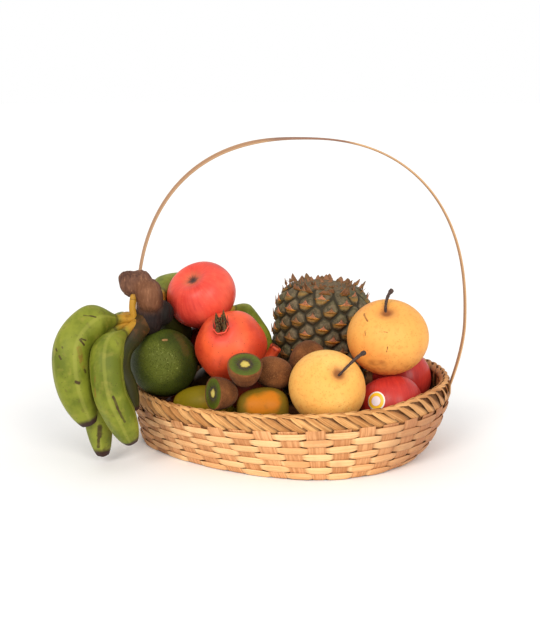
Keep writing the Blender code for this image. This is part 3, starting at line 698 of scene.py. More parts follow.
def build_floor_mat(finish):
    """The basket's floor: strips of straw in plain weave, with its edge under the wall."""
    shape = Shape()
    reach = np.linspace(1.0, 0.004, 52)[:, None]
    x, y = (reach * edge for edge in oval(ring(228), 0.0, UNDER_BORDER + 0.0042))
    column, line = np.floor(x / FLOOR_STRIP), np.floor(y / FLOOR_STRIP)
    crosswise = (column + line) % 2 == 0
    crest = np.sin(math.pi * np.where(crosswise, y / FLOOR_STRIP - line, x / FLOOR_STRIP - column))
    relief = 0.0009 * (1 - crest ** 0.6)
    top = np.stack([x, y, FLOOR_THICKNESS - relief], -1)
    foot = np.stack([x, y, 0.0002 + relief], -1)

    def on_both(rows):
        return np.concatenate([rows[::-1], rows])

    shape.skin(
        np.concatenate([top[::-1], foot]),
        run=on_both(np.where(crosswise, x, y)),
        side=on_both(np.where(crosswise, y, x)) % FLOOR_STRIP,
        tone=on_both(column) * 0.37 % 1.0,
        # hollow is painted shade where a strip dips under the crossing one.
        hollow=on_both(1 - crest) * 0.6,
    )
    return shape.make("basket_floor", "straw", "basket", finish=finish)


def border_point(angle, turn, proud=0.0):
    """Points on the border's face: turn 0 is its outer side and a quarter turn its top."""
    x, y = oval(angle, inset=BORDER_WIDTH / 2)
    ahead_x, ahead_y = oval(angle + 0.01, inset=BORDER_WIDTH / 2)
    way = np.stack([ahead_y - y, x - ahead_x])
    out_x, out_y = way / np.hypot(*way)
    half_height = (BORDER_HEIGHT + right_rise(angle)) / 2
    middle = BASKET_HEIGHT - BORDER_HEIGHT + rim_lift(angle) + half_height
    side = power_of(np.cos(turn), BORDER_SQUARENESS) * (BORDER_WIDTH / 2 - SIDE_UNDER_STRANDS + proud)
    lift = power_of(np.sin(turn), BORDER_SQUARENESS) * (half_height - TOP_UNDER_STRANDS + proud)
    return np.stack(np.broadcast_arrays(x + out_x * side, y + out_y * side, middle + lift), -1)


def build_border_core(finish):
    shape, steps, turn = Shape(), 360, ring(24, 0.5)[None, :]
    grid = border_point(ring(steps)[:, None], turn, -0.0006)
    run = np.arange(steps)[:, None] * 0.003
    # The core shows between the strands, all under painted shade.
    shape.skin(grid, loop=True, run=run, side=turn * 0.005, tone=0.1, hollow=1.0)
    return shape.make("border_core", "straw", "border", finish=finish)


def build_border_strands(finish):
    """The strands that slant up the outer side to the left, over the top and down inside."""
    shape, draw = Shape(), random.Random("strands")
    steps = 44
    climb, edge = np.linspace(0.0, 1.0, steps), ring(10)[None, :]
    turn = np.radians(lerp(-96, 236, climb))
    up = (power_of(np.sin(turn), BORDER_SQUARENESS) + 1) / 2
    past_top = ease((turn - math.pi / 2) / 1.2)
    narrow = 0.45 + 0.55 * ease(climb / 0.10) * ease((1 - climb) / 0.10)
    crest = STRAND_CROWN * (1 - np.cos(edge) ** 2) * np.sign(np.sin(edge))
    tuck = STRAND_TUCK * (1 - ease(climb / 0.10))[:, None]
    # Painted shade: at each strand's lower end where it tucks in, and along the edge that lies under
    # the next strand.
    shade = 0.6 * (1 - ease((climb - 0.05) / 0.10))[:, None]
    under_next = ease((-np.cos(edge) - 0.45) / 0.45)
    for strand in range(STRANDS):
        run = STRAND_RUN * (up + past_top * (1.35 - up * 0.9)) * draw.uniform(0.94, 1.06)
        arc = (strand + draw.uniform(-0.10, 0.10)) / STRANDS - run / RIM_GIRTH
        angle = angle_at(arc, 1.0)
        line = border_point(angle, turn)
        along = unit(np.gradient(line, axis=0))
        out = border_point(angle, turn, 0.002) - line
        out = unit(out - along * np.einsum("ij,ij->i", out, along)[:, None])
        width = STRAND_HALF_WIDTH * draw.uniform(0.90, 1.10)
        side = np.cos(edge) * (width * narrow)[:, None]
        lift = 0.0002 + crest + side * STRAND_TILT - tuck
        shape.skin(
            swept(line, np.cross(out, along), out, side, lift),
            run=(np.arange(steps)[:, None] + 1) * 0.0012 + strand * 2.3,
            side=side,
            tone=draw.uniform(0, 1),
            hollow=np.minimum(shade + 0.9 * under_next, 1.0),
        )
    return shape.make("border_strands", "straw", "border", finish=finish)


def build_border_cord(finish):
    """The two plies twisted along the border's top edge, over the strands' upper ends."""
    shape, edge = Shape(), ring(8)[None, :]
    steps = STRANDS * 14
    at = np.arange(steps) / steps
    angle = angle_at(at, 1.0)
    for ply in range(2):
        phase = math.pi * (STRANDS * at + ply)
        turn = math.radians(70) + 0.22 * np.cos(phase)
        line = border_point(angle, turn, 0.0006 + 0.0009 * np.sin(phase))
        along = unit(np.roll(line, -1, 0) - np.roll(line, 1, 0))
        out = unit(border_point(angle, turn, 0.003) - line)
        side, lift = CORD_HALF_WIDTH * np.cos(edge), CORD_HALF_HEIGHT * np.sin(edge)
        shape.skin(
            swept(line, np.cross(along, out), out, side, lift),
            loop=True,
            run=np.arange(steps)[:, None] * 0.001 + ply * 5,
            side=0.002 * np.cos(edge),
            tone=0.55 + 0.3 * np.sin(phase * 0.37)[:, None],
            # hollow is painted shade where this ply passes under the other.
            hollow=ease((-np.sin(phase) - 0.2) / 0.8)[:, None],
        )
    return shape.make("border_cord", "straw", "border", finish=finish)


def leg_x(z, side):
    """Where a leg's centre line stands at height z, on the left (-1) or right (+1)."""
    wide = ARCH_CENTRE_X + side * ARCH_HALF_SPAN
    clear = HANDLE_THICKNESS / 2 + HANDLE_CLEARANCE
    under_border = BASKET_HEIGHT - BORDER_HEIGHT + side * RIM_TILT * RIM_HALF_LENGTH
    border_middle = under_border + BORDER_HEIGHT / 2
    at_border = side * (RIM_HALF_LENGTH + clear)
    if z >= border_middle:
        drop = (ARCH_SPRING_Z - z) / (ARCH_SPRING_Z - border_middle)
        return wide + (at_border - wide) * drop ** 1.7
    end = 0.0 if side > 0 else math.pi
    proudest = 0.0011
    wall = abs(oval(end, min(z / under_border, 1.0), UNDER_BORDER - proudest)[0]) + clear
    return side * min(side * at_border, wall + 0.001)


def handle_line(leg_steps, arch_steps):
    """Points along the cane from its right foot over the arch to its left foot."""
    rise = (ARCH_SPRING_Z - HANDLE_FOOT_Z) / leg_steps
    heights = [HANDLE_FOOT_Z + rise * k for k in range(leg_steps)]
    turn = math.pi * np.arange(arch_steps + 1) / arch_steps
    x = ARCH_CENTRE_X + ARCH_HALF_SPAN * power_of(np.cos(turn), 2 / ARCH_POWER)
    z = ARCH_SPRING_Z + ARCH_RISE * power_of(np.sin(turn), 2 / ARCH_POWER)
    right = [(leg_x(height, 1), 0.0, height) for height in heights]
    left = [(leg_x(height, -1), 0.0, height) for height in reversed(heights)]
    return np.array([*right, *zip(x, np.zeros_like(x), z), *left])


def build_handle():
    """The split cane: a flat strip with rounded edges, its bark side out."""
    shape, turn = Shape(), ring(20, 0.5)[None, :]
    line = handle_line(40, 180)
    along = unit(np.gradient(line, axis=0))
    share = np.linspace(0, 1, len(line))[:, None]
    twist = -lerp(HANDLE_RIGHT_TWIST, HANDLE_LEFT_TWIST, ease((share - 0.45) / 0.12))
    twist = twist * ease(share / 0.12) * ease((1 - share) / 0.12)
    level = np.array((0.0, 1.0, 0.0))
    across = np.cos(twist) * level + np.sin(twist) * np.cross(along, level)
    side = power_of(np.cos(turn), 0.6) * HANDLE_WIDTH / 2
    lift = power_of(np.sin(turn), 0.6) * HANDLE_THICKNESS / 2
    grid = swept(line, across, np.cross(along, across), side, lift)
    shape.skin(grid, run=share * HANDLE_LENGTH, side=side)
    return shape.make("handle_cane", "cane", "handle", finish=cane_finish())


def cane_finish():
    cane = Finish("cane", 0.4)
    side = cane.value("side")
    fibre = cane.grain(1.0, 2.0, cane.joined(cane.value("run") * 20, side * 1600))
    cane.ground(fibre.rise(0.3, 0.7), (158, 108, 70), (200, 150, 100))
    cane.lay(side.maths("ABSOLUTE", side).rise(0.0030, 0.0046) * 0.5, (214, 178, 130))
    # Painted shade: a purple-brown band over the top of the arch, and the left half of the cane
    # darker.
    top = cane.stroke((0.002, 0.0, 0.3465), (0.042, 0.0, 0.3450), 0.034)
    cane.lay(top * 0.75, (118, 74, 66))
    cane.lay(cane.metres(0).fall(-0.02, 0.02) * 0.45, (150, 116, 92))
    return cane.coat(fibre * 0.2 + 0.45, fibre, 0.0003)


def about_stem(out, turn, z):
    """Points at this distance from the stem's line, this turn about it and this height on it."""
    return np.stack(np.broadcast_arrays(out * np.cos(turn), out * np.sin(turn), z), -1)


def dimple(band, depth, width):
    """A hollow at the pole, this deep in half heights."""
    return depth * np.exp(-((band / width) ** 2))


def apple_points(band, turn, half_width, half_height):
    lobes = 1 + 0.020 * np.cos(5 * turn) * np.sin(band) * (0.5 - 0.5 * np.cos(band))
    out = half_width * np.sin(band) * (1 + 0.05 * np.cos(band)) * lobes
    z = np.cos(band) - dimple(band, 0.33, 0.40) + dimple(math.pi - band, 0.22, 0.40)
    return about_stem(out, turn, half_height * z)


def pear_points(band, turn, half_width, half_height):
    out = half_width * np.sin(band) * (1 - 0.03 * np.cos(band))
    z = np.cos(band) - dimple(band, 0.20, 0.30) + dimple(math.pi - band, 0.10, 0.35)
    return about_stem(out, turn, half_height * z)


def mango_points(band, turn, half_width, half_height):
    out = half_width * np.sin(band) ** 0.75 * (1 + 0.06 * np.cos(band))
    points = about_stem(out, turn, half_height * np.cos(band))
    points[..., 1] *= 0.90
    points[..., 0] += 0.08 * half_width * np.sin(band)
    return points


def kiwi_points(band, turn, half_width, half_height):
    return about_stem(half_width * np.sin(band) ** 0.85, turn, half_height * np.cos(band))


def orange_points(band, turn, half_width, half_height):
    z = np.cos(band) - dimple(band, 0.05, 0.25)
    return about_stem(half_width * np.sin(band), turn, half_height * z)


# What a fruit's name starts with: its form, its slot, and how lumpy it is
KINDS = {
    "apple": (apple_points, "apple_skin", 0.0005),
    "pear": (pear_points, "pear_skin", 0.0005),
    "mango": (mango_points, "mango_skin", 0.0005),
    "kiwi": (kiwi_points, "kiwi_skin", 0.0004),
    "green": (orange_points, "orange_skin", 0.0005),
}


def kind_of(name):
    return name.split("_")[0]


def build_fruit(name, centre, axis, half_width, half_height, fine=1.0, spin=0.0):
    """A fruit turned about its stem, a little uneven, named after the node that it stands for."""
    points_of, slot, lumps = KINDS[kind_of(name)]
    bands, columns = int(FRUIT_BANDS * fine), int(FRUIT_COLUMNS * fine)
    band = (math.pi * (np.arange(bands) + 0.35) / (bands - 0.3))[:, None]
    turn = ring(columns)[None, :]
    grid = points_of(band, turn, half_width, half_height)
    swell = waves(grid, name, 2.2 * half_width) * lumps
    grid = grid * (1 + (swell - 0.4 * lumps) / half_width)[..., None]
    shape = Shape()
    shape.skin(grid, band=band, turn=turn)
    return shape.make(name + "_skin", slot, name, placing=facing(centre, axis, spin))


def build_low_fruit(name, plan, way, half_width):
    """A fruit that lies on the floor, a mango with its flat side down."""
    lift, length = LYING[kind_of(name)]
    centre = (*plan, FLOOR_THICKNESS + GAP + lift * half_width)
    axis = (*way, 0.0) if way else (0.0, 0.0, 1.0)
    spin = math.atan2(way[0], -way[1]) if kind_of(name) == "mango" else 0.0
    return build_fruit(name, centre, axis, half_width, length * half_width, LOW_FINENESS, spin)


def apple_finish(name, body, dark, pale, blush=0.5, gloss=0.3):
    """A red apple: streaks from stem to calyx, pale freckles, a brownish-green stem hollow deepened
    by painted shade.
    """
    skin = Finish(name, gloss)
    turn, band = skin.value("turn"), skin.value("band")
    sine, cosine = (turn.maths(wave, turn) * 9 for wave in ("SINE", "COSINE"))
    streak = skin.grain(1.6, 3.0, skin.joined(sine, cosine, band * 1.2))
    cloud = skin.grain(22.0)
    skin.ground((streak * 0.3 + cloud * 0.7).rise(0.30, 0.68), dark, body)
    skin.lay(cloud.rise(0.52, 0.75) * blush, pale)
    skin.lay(skin.pits(260.0).fall(0.08, 0.20) * 0.35, pale)
    skin.lay((band + streak * 0.34).fall(0.28, 0.56) * 0.55, (196, 120, 78))
    # The stem hollow's own brown, deepened to near black by painted shade.
    skin.lay((band + streak * 0.30).fall(0.20, 0.36), (62, 40, 34))
    skin.lay(band.rise(2.92, 3.06), (74, 52, 34))
    return skin.coat(cloud * 0.15 + 0.30, (cloud + streak) * 0.3)


def pear_finish(name, piece, marks, pale, warm_tone):
    """A round pear: a pale ground in warmer clouds, fine specks, a russet root deepened by painted
    shade in its dimple.
    """
    skin = Finish(name, 0.2)
    cloud, fine, band = skin.grain(26.0, 4.0), skin.grain(210.0, 4.0), skin.value("band")
    skin.ground((cloud * 0.4 + skin.grain(9.0, 2.0) * 0.6).rise(0.38, 0.64), pale, warm_tone)
    skin.lay(fine.rise(0.50, 0.72) * 0.35, (214, 126, 56))
    speck = skin.pits(330.0).fall(0.10, 0.26)
    skin.lay(speck * 0.45, (176, 98, 44))
    skin.lay((band + cloud * 0.4).fall(0.24, 0.60) * 0.45, (184, 98, 52))
    # The russet of the stalk's dimple, darkened by painted shade.
    skin.lay((band + cloud * 0.2).fall(0.14, 0.30) * 0.75, (112, 56, 32))
    under = (band + cloud * 0.8).rise(1.9, 2.7) * fine.rise(0.40, 0.62)
    skin.lay(under * 0.45, (168, 84, 44))
    skin.lay(band.rise(2.85, 3.05), (110, 74, 40))
    if marks:
        skin.lay(strokes(skin, piece, marks) * 0.80, (104, 46, 24))
        scuff = strokes(skin, piece, [PEAR_SCUFF]) * skin.grain(90.0, 2.0).rise(0.30, 0.70)
        skin.lay(scuff * 0.55, (150, 82, 44))
    return skin.coat(cloud * 0.15 + 0.42, cloud * 0.5 + speck * 0.3)


def pomegranate_finish(name, shade=0.0):
    """Leathery orange-red skin with pores and clouds, and painted shade that turns this share of it,
    all but round the calyx, maroon.
    """
    skin = Finish(name, 0.3)
    cloud, patch, band = skin.grain(26.0, 4.0), skin.grain(70.0, 4.0), skin.value("band")
    skin.ground(cloud.rise(0.33, 0.62), (194, 58, 32), (236, 92, 48))
    skin.lay(patch.rise(0.50, 0.70) * 0.55, (190, 62, 34))
    skin.lay(skin.pits(240.0).fall(0.07, 0.19) * 0.70, (112, 42, 24))
    skin.lay(band.fall(0.25, 0.6) * 0.5, (226, 66, 66))
    if shade:
        skin.lay(band.fall(0.2, 0.3), (222, 84, 44))
        # Painted shade: the fruit hidden under the heap turns maroon.
        skin.lay(band.rise(0.32, 0.9) * shade, (70, 16, 14))
    return skin.coat(cloud * 0.15 + 0.34, cloud * 0.5 + patch * 0.3, 0.0006)


def kiwi_skin_finish(name):
    """Brown skin under a short fuzz."""
    skin = Finish(name, 0.1, Sheen_Weight=0.04, Sheen_Roughness=0.5)
    fuzz, cloud = skin.grain(1500.0, 2.0, skin.upright(0.35)), skin.grain(60.0, 4.0)
    skin.ground(cloud.rise(0.35, 0.70), (92, 54, 28), (130, 80, 44))
    skin.lay(fuzz.rise(0.52, 0.72) * 0.55, (158, 106, 62))
    skin.lay(fuzz.fall(0.32, 0.45) * 0.40, (62, 34, 18))
    return skin.coat(fuzz * 0.1 + 0.75, fuzz * 0.7 + cloud * 0.3, 0.0007)


def mango_finish(name, body, blush, edge, piece=None):
    """A mango, with its ripest colour at the cheek of the piece given, else in clouds."""
    skin = Finish(name, 0.12)
    cloud, speck = skin.grain(26.0, 4.0), skin.pits(330.0).fall(0.08, 0.20)
    ripe = cloud.rise(0.42, 0.62)
    if piece:
        ripe = skin.stroke(*both_on(piece, *RIPE_CHEEK), 0.016, skin.uneven(60.0, 0.006))
    skin.ground(ripe, body, blush)
    skin.lay(skin.grain(48.0).rise(0.54, 0.72) * 0.6, edge)
    skin.lay(speck * 0.35, (110, 82, 30))
    skin.lay(skin.value("band").rise(2.6, 3.05) * 0.7, edge)
    return skin.coat(cloud * 0.15 + 0.36, (cloud + speck) * 0.4)


def green_orange_finish(piece):
    """Dark green pebbled peel with a painted highlight, lighter and yellower where it faces up, with
    a pale scar.
    """
    peel = Finish("green_orange_peel", 0.12)
    pebble, cloud = peel.pits(620.0), peel.grain(30.0, 4.0)
    peel.ground(cloud.rise(0.35, 0.70), (52, 60, 18), (72, 82, 24))
    # Painted highlight: a lighter, yellower patch with pale glints in it.
    painted_highlight = peel.stroke(*both_on(piece, *PAINTED_HIGHLIGHT_PEEL), 0.026)
    peel.lay(painted_highlight * 0.6, (98, 104, 36))
    peel.lay(peel.grain(420.0, 2.0).rise(0.60, 0.72) * painted_highlight * 0.5, (150, 154, 84))
    peel.lay(pebble.fall(0.10, 0.30) * 0.4, (40, 58, 18))
    peel.lay(strokes(peel, piece, [PEEL_BLOTCH]) * 0.45, (96, 70, 36))
    peel.lay(strokes(peel, piece, [PEEL_SCAR]) * 0.8, (176, 128, 84))
    return peel.coat(cloud * 0.15 + 0.48, pebble.rise(0.05, 0.5), 0.0007)


def build_heap():
    """The whole fruit, each with the finish of its kind where it has none of its own."""
    # A darker copy of the crimson apple, as painted shade, for the apples deep in the heap.
    deep = apple_finish("apple_painted_shade", (110, 26, 24), (84, 18, 18), (120, 40, 30), 0.2, 0.02)
    coats = {
        "apple": apple_finish("apple_crimson", (206, 58, 46), (162, 34, 34), (216, 82, 62), 0.3),
        "apple_top": apple_finish("apple_coral", (238, 86, 66), (198, 50, 42), (244, 124, 88)),
        "apple_back": deep,
        "apple_low_left": deep,
        # Painted shade: the pear under the heap takes a dark brown-olive skin.
        "pear_low_back": mango_finish(
            "pear_low_back_skin", (88, 64, 26), (104, 74, 34), (62, 46, 20)
        ),
        # Olive green skin: the green mango's own colour, and painted shade on the low mangoes under
        # the heap.
        "mango": mango_finish("mango_green_and_shade", (120, 104, 14), (158, 126, 22), (90, 78, 16)),
        "kiwi": kiwi_skin_finish("kiwi_skin"),
    }
    pieces = {name: build_fruit(name, *spec) for name, spec in WHOLE_FRUIT.items()}
    pieces.update((name, build_low_fruit(name, *spec)) for name, spec in LOW_FRUIT.items())
    coats["pear_front"] = pear_finish(
        "pear_front_skin", pieces["pear_front"], (), (240, 190, 104), (238, 172, 84)
    )
    coats["pear_back"] = pear_finish(
        "pear_back_skin", pieces["pear_back"], PEAR_MARKS, (236, 170, 84), (226, 144, 70)
    )
    coats["mango_orange"] = mango_finish(
        "mango_ripe", (116, 92, 24), (192, 112, 20), (92, 72, 18), pieces["mango_orange"]
    )
    coats["green_orange"] = green_orange_finish(pieces["green_orange"])
    for name, piece in pieces.items():
        piece.data.materials.append(coats.get(name) or coats[kind_of(name)])
    for name in PEAR_STALKS:
        build_stalk(name)
    build_sticker(pieces["apple_front"])


def build_stalk(name):
    """A pear's bent stalk: a tapered woody tube with a thicker cut end."""
    centre = Vector(WHOLE_FRUIT[name][0])
    root, bend, end = (centre + Vector(offset) for offset in PEAR_STALKS[name])
    shares = np.linspace(0, 1, 40)
    line = [root.lerp(bend, s).lerp(bend.lerp(end, s), s) for s in shares]
    knots = 1 + 0.07 * np.sin(shares * 31) + 0.05 * np.sin(shares * 67)
    sizes = STALK_RADIUS * (0.62 + 0.36 * shares + 0.34 * ease((shares - 0.80) / 0.12)) * knots
    sizes[-1] *= 0.75
    shape = Shape()
    shape.skin(tube(line, sizes, 14), share=shares[:, None])
    wood = Finish(name + "_stalk", 0.3)
    grain = wood.grain(520.0)
    wood.ground(grain.rise(0.3, 0.7), (44, 32, 30), (84, 64, 56))
    wood.lay(wood.value("share").rise(0.97, 1.0), (128, 112, 92))
    coat = wood.coat(grain * 0.2 + 0.55, grain, 0.0008)
    return shape.make(name + "_stalk", "pear_skin", name, finish=coat)


def build_sticker(apple):
    """A plain round sticker that follows the apple's skin: pale rim, yellow field, pale disc."""
    middle, normal = seen_on(apple, STICKER_AT)
    side = normal.orthogonal().normalized()
    other = normal.cross(side)
    outwards = np.linspace(0.05, 1.0, 9)
    rows = []
    for lift, reaches in ((0.00035, outwards), (0.00005, outwards[::-1])):
        for reach in reaches:
            rows.append([])
            for turn in ring(48):
                way = side * math.cos(turn) + other * math.sin(turn)
                off = way * STICKER_RADIUS * reach
                hit, point, facing_way, _ = apple.ray_cast(middle + off + normal * 0.02, -normal)
                rows[-1].append(tuple(point + facing_way * lift if hit else middle + off))
    shape = Shape()
    shape.skin(np.array(rows), reach=np.concatenate([outwards, outwards[::-1]])[:, None])
    paper = Finish("sticker", Roughness=0.35)
    paper.bands(
        paper.value("reach"),
        (0.0, (236, 226, 232)),
        (0.48, (240, 232, 236)),
        (0.54, (240, 150, 60)),
        (0.60, (250, 205, 40)),
        (0.84, (250, 196, 30)),
        (0.88, (248, 244, 236)),
    )
    return shape.make("apple_front_sticker", "apple_skin", finish=paper.coat())


def catmull(points, count):
    """count + 1 points on a smooth curve through the given ones."""
    points = [Vector(point) for point in points]
    points = [2 * points[0] - points[1], *points, 2 * points[-1] - points[-2]]
    line = []
    for k in range(count + 1):
        at = k / count * (len(points) - 3)
        first = min(int(at), len(points) - 4)
        a, b, c, d = points[first : first + 4]
        t = at - first
        bend = (2 * a - 5 * b + 4 * c - d) * t ** 2 + (3 * b - a - 3 * c + d) * t ** 3
        line.append(0.5 * (2 * b + (c - a) * t + bend))
    return line


def tube(line, sizes, around, profile=1.0):
    """Rings of points round a line, with the girth of each station and a profile round it."""
    side = (line[1] - line[0]).orthogonal().normalized()
    sides, others = [], []
    for before, after in zip([line[0], *line], [*line[1:], line[-1]]):
        along = (after - before).normalized()
        side = (side - along * side.dot(along)).normalized()
        sides.append(side)
        others.append(along.cross(side))
    turn = ring(around)
    side, lift = (np.outer(sizes, wave * profile) for wave in (np.cos(turn), np.sin(turn)))
    return swept(line, sides, others, side, lift)


def build_banana(name, radius, neck, points):
    """A banana of blunt five-sided section, from its thin neck to its tip."""
    share, turn = np.linspace(0, 1, BANANA_STATIONS + 1), ring(BANANA_COLUMNS)
    swell = neck + (1 - neck) * ease((share - 0.18) / 0.22)
    taper = np.sqrt(1 - 0.88 * np.maximum(0.0, (share - 0.70) / 0.30) ** 2.4)
    rounded = np.sqrt(np.clip((1.004 - share) / 0.012, 0.04, 1.0))
    phase = random.Random("banana_" + name).uniform(0, math.tau)
    ridges = 1 + 0.022 * np.cos(5 * turn + phase) + 0.008 * np.cos(2 * turn + phase)
    sizes = radius * swell * taper * rounded * 0.985
    shape = Shape()
    grid = tube(catmull(points, BANANA_STATIONS), sizes, BANANA_COLUMNS, ridges)
    shape.skin(grid, share=share[:, None], turn=turn)
    node = "banana_loose" if name == "loose_finger" else "banana_hand"
    piece = shape.make("banana_" + name, "banana_peel", node)
    piece.data.materials.append(peel_finish(name, piece))


def peel_finish(name, piece):
    """Green banana peel: painted highlights along its ridges, orange-yellow neck, dark blunt tip,
    scars and bruises, and painted shade on fingers deep in the hand.
    """
    peel = Finish("peel_" + name, 0.2)
    share, turn = peel.value("share"), peel.value("turn") * 5
    cloud, patch = peel.grain(30.0, 4.0), peel.grain(90.0, 4.0)
    peel.ground(cloud.rise(0.34, 0.62), (93, 103, 23), (129, 135, 42))
    peel.lay(patch.rise(0.54, 0.72) * 0.40, (150, 140, 60))
    scuff = peel.grain(130.0, 5.0, peel.uneven(200.0, 0.003)).rise(0.60, 0.70)
    peel.lay(scuff * 0.40, (88, 78, 34))
    # Painted highlights along five lines round each finger.
    peel.lay(turn.maths("COSINE", turn).rise(0.75, 1.0) * 0.30, (160, 158, 70))
    peel.lay(peel.pits(210.0).fall(0.06, 0.15) * 0.65, (72, 58, 24))
    ends = (0.90, 1.20) if name == "neck_stub" else (0.17, 0.26)
    peel.lay((share + cloud * 0.06).fall(*ends) * 0.90, (184, 132, 42))
    # Painted shade: these fingers darken near black.
    if name in SHADED_BANANAS:
        peel.lay(cloud.rise(0.20, 0.60) * 0.25 + 0.68, (34, 27, 18))
    stain = peel.grain(130.0, 4.0).rise(0.50, 0.66) * share.fall(0.16, 0.30)
    peel.lay(stain * 0.55, (96, 60, 30))
    peel.lay(share.rise(0.195, 0.21) * share.fall(0.215, 0.24) * 0.55, (60, 44, 26))
    if name in BANANA_STREAKS:
        streak = strokes(peel, piece, BANANA_STREAKS[name]) * patch.rise(0.35, 0.6)
        peel.lay(streak * 0.75, (132, 86, 34))
    if name in BANANA_MARKS:
        peel.lay(strokes(peel, piece, BANANA_MARKS[name]) * 0.90, (60, 38, 22))
    peel.lay((share + cloud * 0.03 + patch * 0.02).rise(0.972, 1.000), (54, 32, 28))
    return peel.coat(cloud * 0.15 + 0.42, cloud * 0.4 + patch * 0.3, 0.0006)


def build_dried_crown():
    """The hand's dried top: lobes grown together, skinned as one body."""
    shape = Shape()
    band, turn = (math.pi * (np.arange(20) + 0.3) / 19.6)[:, None], ring(28)[None, :]
    for centre, halves, lean in CROWN_LOBES:
        grid = about_stem(np.sin(band) ** 0.8, turn, np.cos(band)) * np.array(halves)
        tilt = np.array(Matrix.Rotation(math.radians(lean), 3, "Y"))
        shape.skin(grid @ tilt.T + np.array(centre))
    piece = shape.make("banana_crown", "banana_peel", "banana_hand", finish=crown_finish())
    bpy.context.view_layer.objects.active = piece
    merge = piece.modifiers.new("merge", "REMESH")
    merge.mode, merge.voxel_size = "VOXEL", CROWN_GRAIN
    soften = piece.modifiers.new("soften", "SMOOTH")
    soften.factor, soften.iterations = CROWN_SOFTNESS, CROWN_ROUNDS
    graph = bpy.context.evaluated_depsgraph_get()
    merged = bpy.data.meshes.new_from_object(piece.evaluated_get(graph))
    piece.modifiers.clear()
    piece.data = merged
    points, outward = np.zeros((2, 3 * len(merged.vertices)))
    merged.vertices.foreach_get("co", points)
    merged.vertices.foreach_get("normal", outward)
    points, outward = points.reshape(-1, 3), outward.reshape(-1, 3)
    fibres = waves(points * np.array([1.0, 1.0, 0.25]), "fibres", 0.0045)
    dents = waves(points, "dents", 0.014)
    points += outward * (0.0005 * fibres + 0.0006 * dents + 0.0004)[:, None]
    merged.vertices.foreach_set("co", points.reshape(-1))
    merged.shade_smooth()
    return piece


def crown_finish():
    """Dried purple-brown fibre, warmer on the front lobe, and near black from painted shade on its
    lower part and its right side.
    """
    dried = Finish("dried_crown", 0.25)
    fibre, cloud = dried.grain(420.0, 3.0, dried.upright(0.25)), dried.grain(70.0, 4.0)
    dried.ground((cloud * 0.6 + fibre * 0.4).rise(0.35, 0.68), (72, 44, 34), (120, 82, 62))
    warm = dried.stroke((-0.157, -0.045, 0.183), (-0.152, -0.045, 0.172), 0.020)
    dried.lay(warm * 0.45, (134, 84, 50))
    dried.lay(fibre.rise(0.58, 0.72) * 0.45, (168, 122, 88))
    # Painted shade, near black, under the crown and on its right towards the apple.
    dried.lay(dried.metres(2).fall(0.153, 0.168) * 0.94, (22, 14, 14))
    dried.lay(dried.metres(0).rise(-0.146, -0.138) * 0.94, (22, 16, 12))
    return dried.coat(fibre * 0.1 + 0.70, (fibre + cloud) * 0.6, 0.0012)


def pine_radius(share):
    over, under = (np.maximum(s, 0) for s in (share - PINE_WIDEST, PINE_WIDEST - share))
    above = 0.32 * (over / (1 - PINE_WIDEST)) ** 6
    return PINE_RADIUS * (1 - above - 0.24 * (under / PINE_WIDEST) ** 3)


def pine_eyes():
    """(turn, height) of each eye, in the order they grow, by the golden angle."""
    k = np.arange(int(PINE_HEIGHT / EYE_RISE) + 1)
    return list(zip(k * GOLDEN_TURN % math.tau, (k + 0.5) * EYE_RISE))


def make_pineapple(shape, name, finish):
    return shape.make(name, "pineapple_skin", "pineapple", finish=finish, placing=PINE_PLACE)


def build_pineapple():
    """The barrel, its skin swollen into eyes with grooves between them, and its cut top."""
    rows, cut_rows, columns = 190, 12, 330  # of the barrel and of its cut top
    height = np.concatenate([np.linspace(0, 1, rows), np.full(cut_rows, 1.0)])
    drawn_in = np.concatenate([np.ones(rows), np.linspace(0.96, 0.10, cut_rows)])[:, None]
    turn = ring(columns)[None, :]
    z = (height * PINE_HEIGHT)[:, None]
    radius = pine_radius(height)[:, None] * drawn_in
    nearest = np.full((len(height), columns), 9.0)
    second = nearest.copy()
    up = np.zeros_like(nearest)
    for eye_turn, eye_height in pine_eyes():
        dx = ((turn - eye_turn + math.pi) % math.tau - math.pi) * np.maximum(radius, 0.02)
        dz = z - eye_height
        distance = np.hypot(dx, dz)
        closer = distance < nearest
        second = np.where(closer, nearest, np.minimum(second, distance))
        up = np.where(closer, dz, up)
        nearest = np.where(closer, distance, nearest)
    seam = ease((second - nearest) / 0.0080)
    dome = 1 - np.clip(nearest / EYE_REACH, 0, 1) ** 2
    relief = EYE_DEPTH * (0.55 * seam + 0.45 * dome * seam) - EYE_DEPTH
    around = radius + np.where(drawn_in < 1, relief * 0.4 - 0.001, relief)
    cap = 0.0016 * np.sqrt(1 - drawn_in ** 2)
    shape = Shape()
    cut_top = ease((1 - drawn_in) / 0.2)
    shape.skin(about_stem(around, turn, z + cap), seam=seam, up=up * 100, cut_top=cut_top)
    return make_pineapple(shape, "pineapple_skin", pineapple_finish())


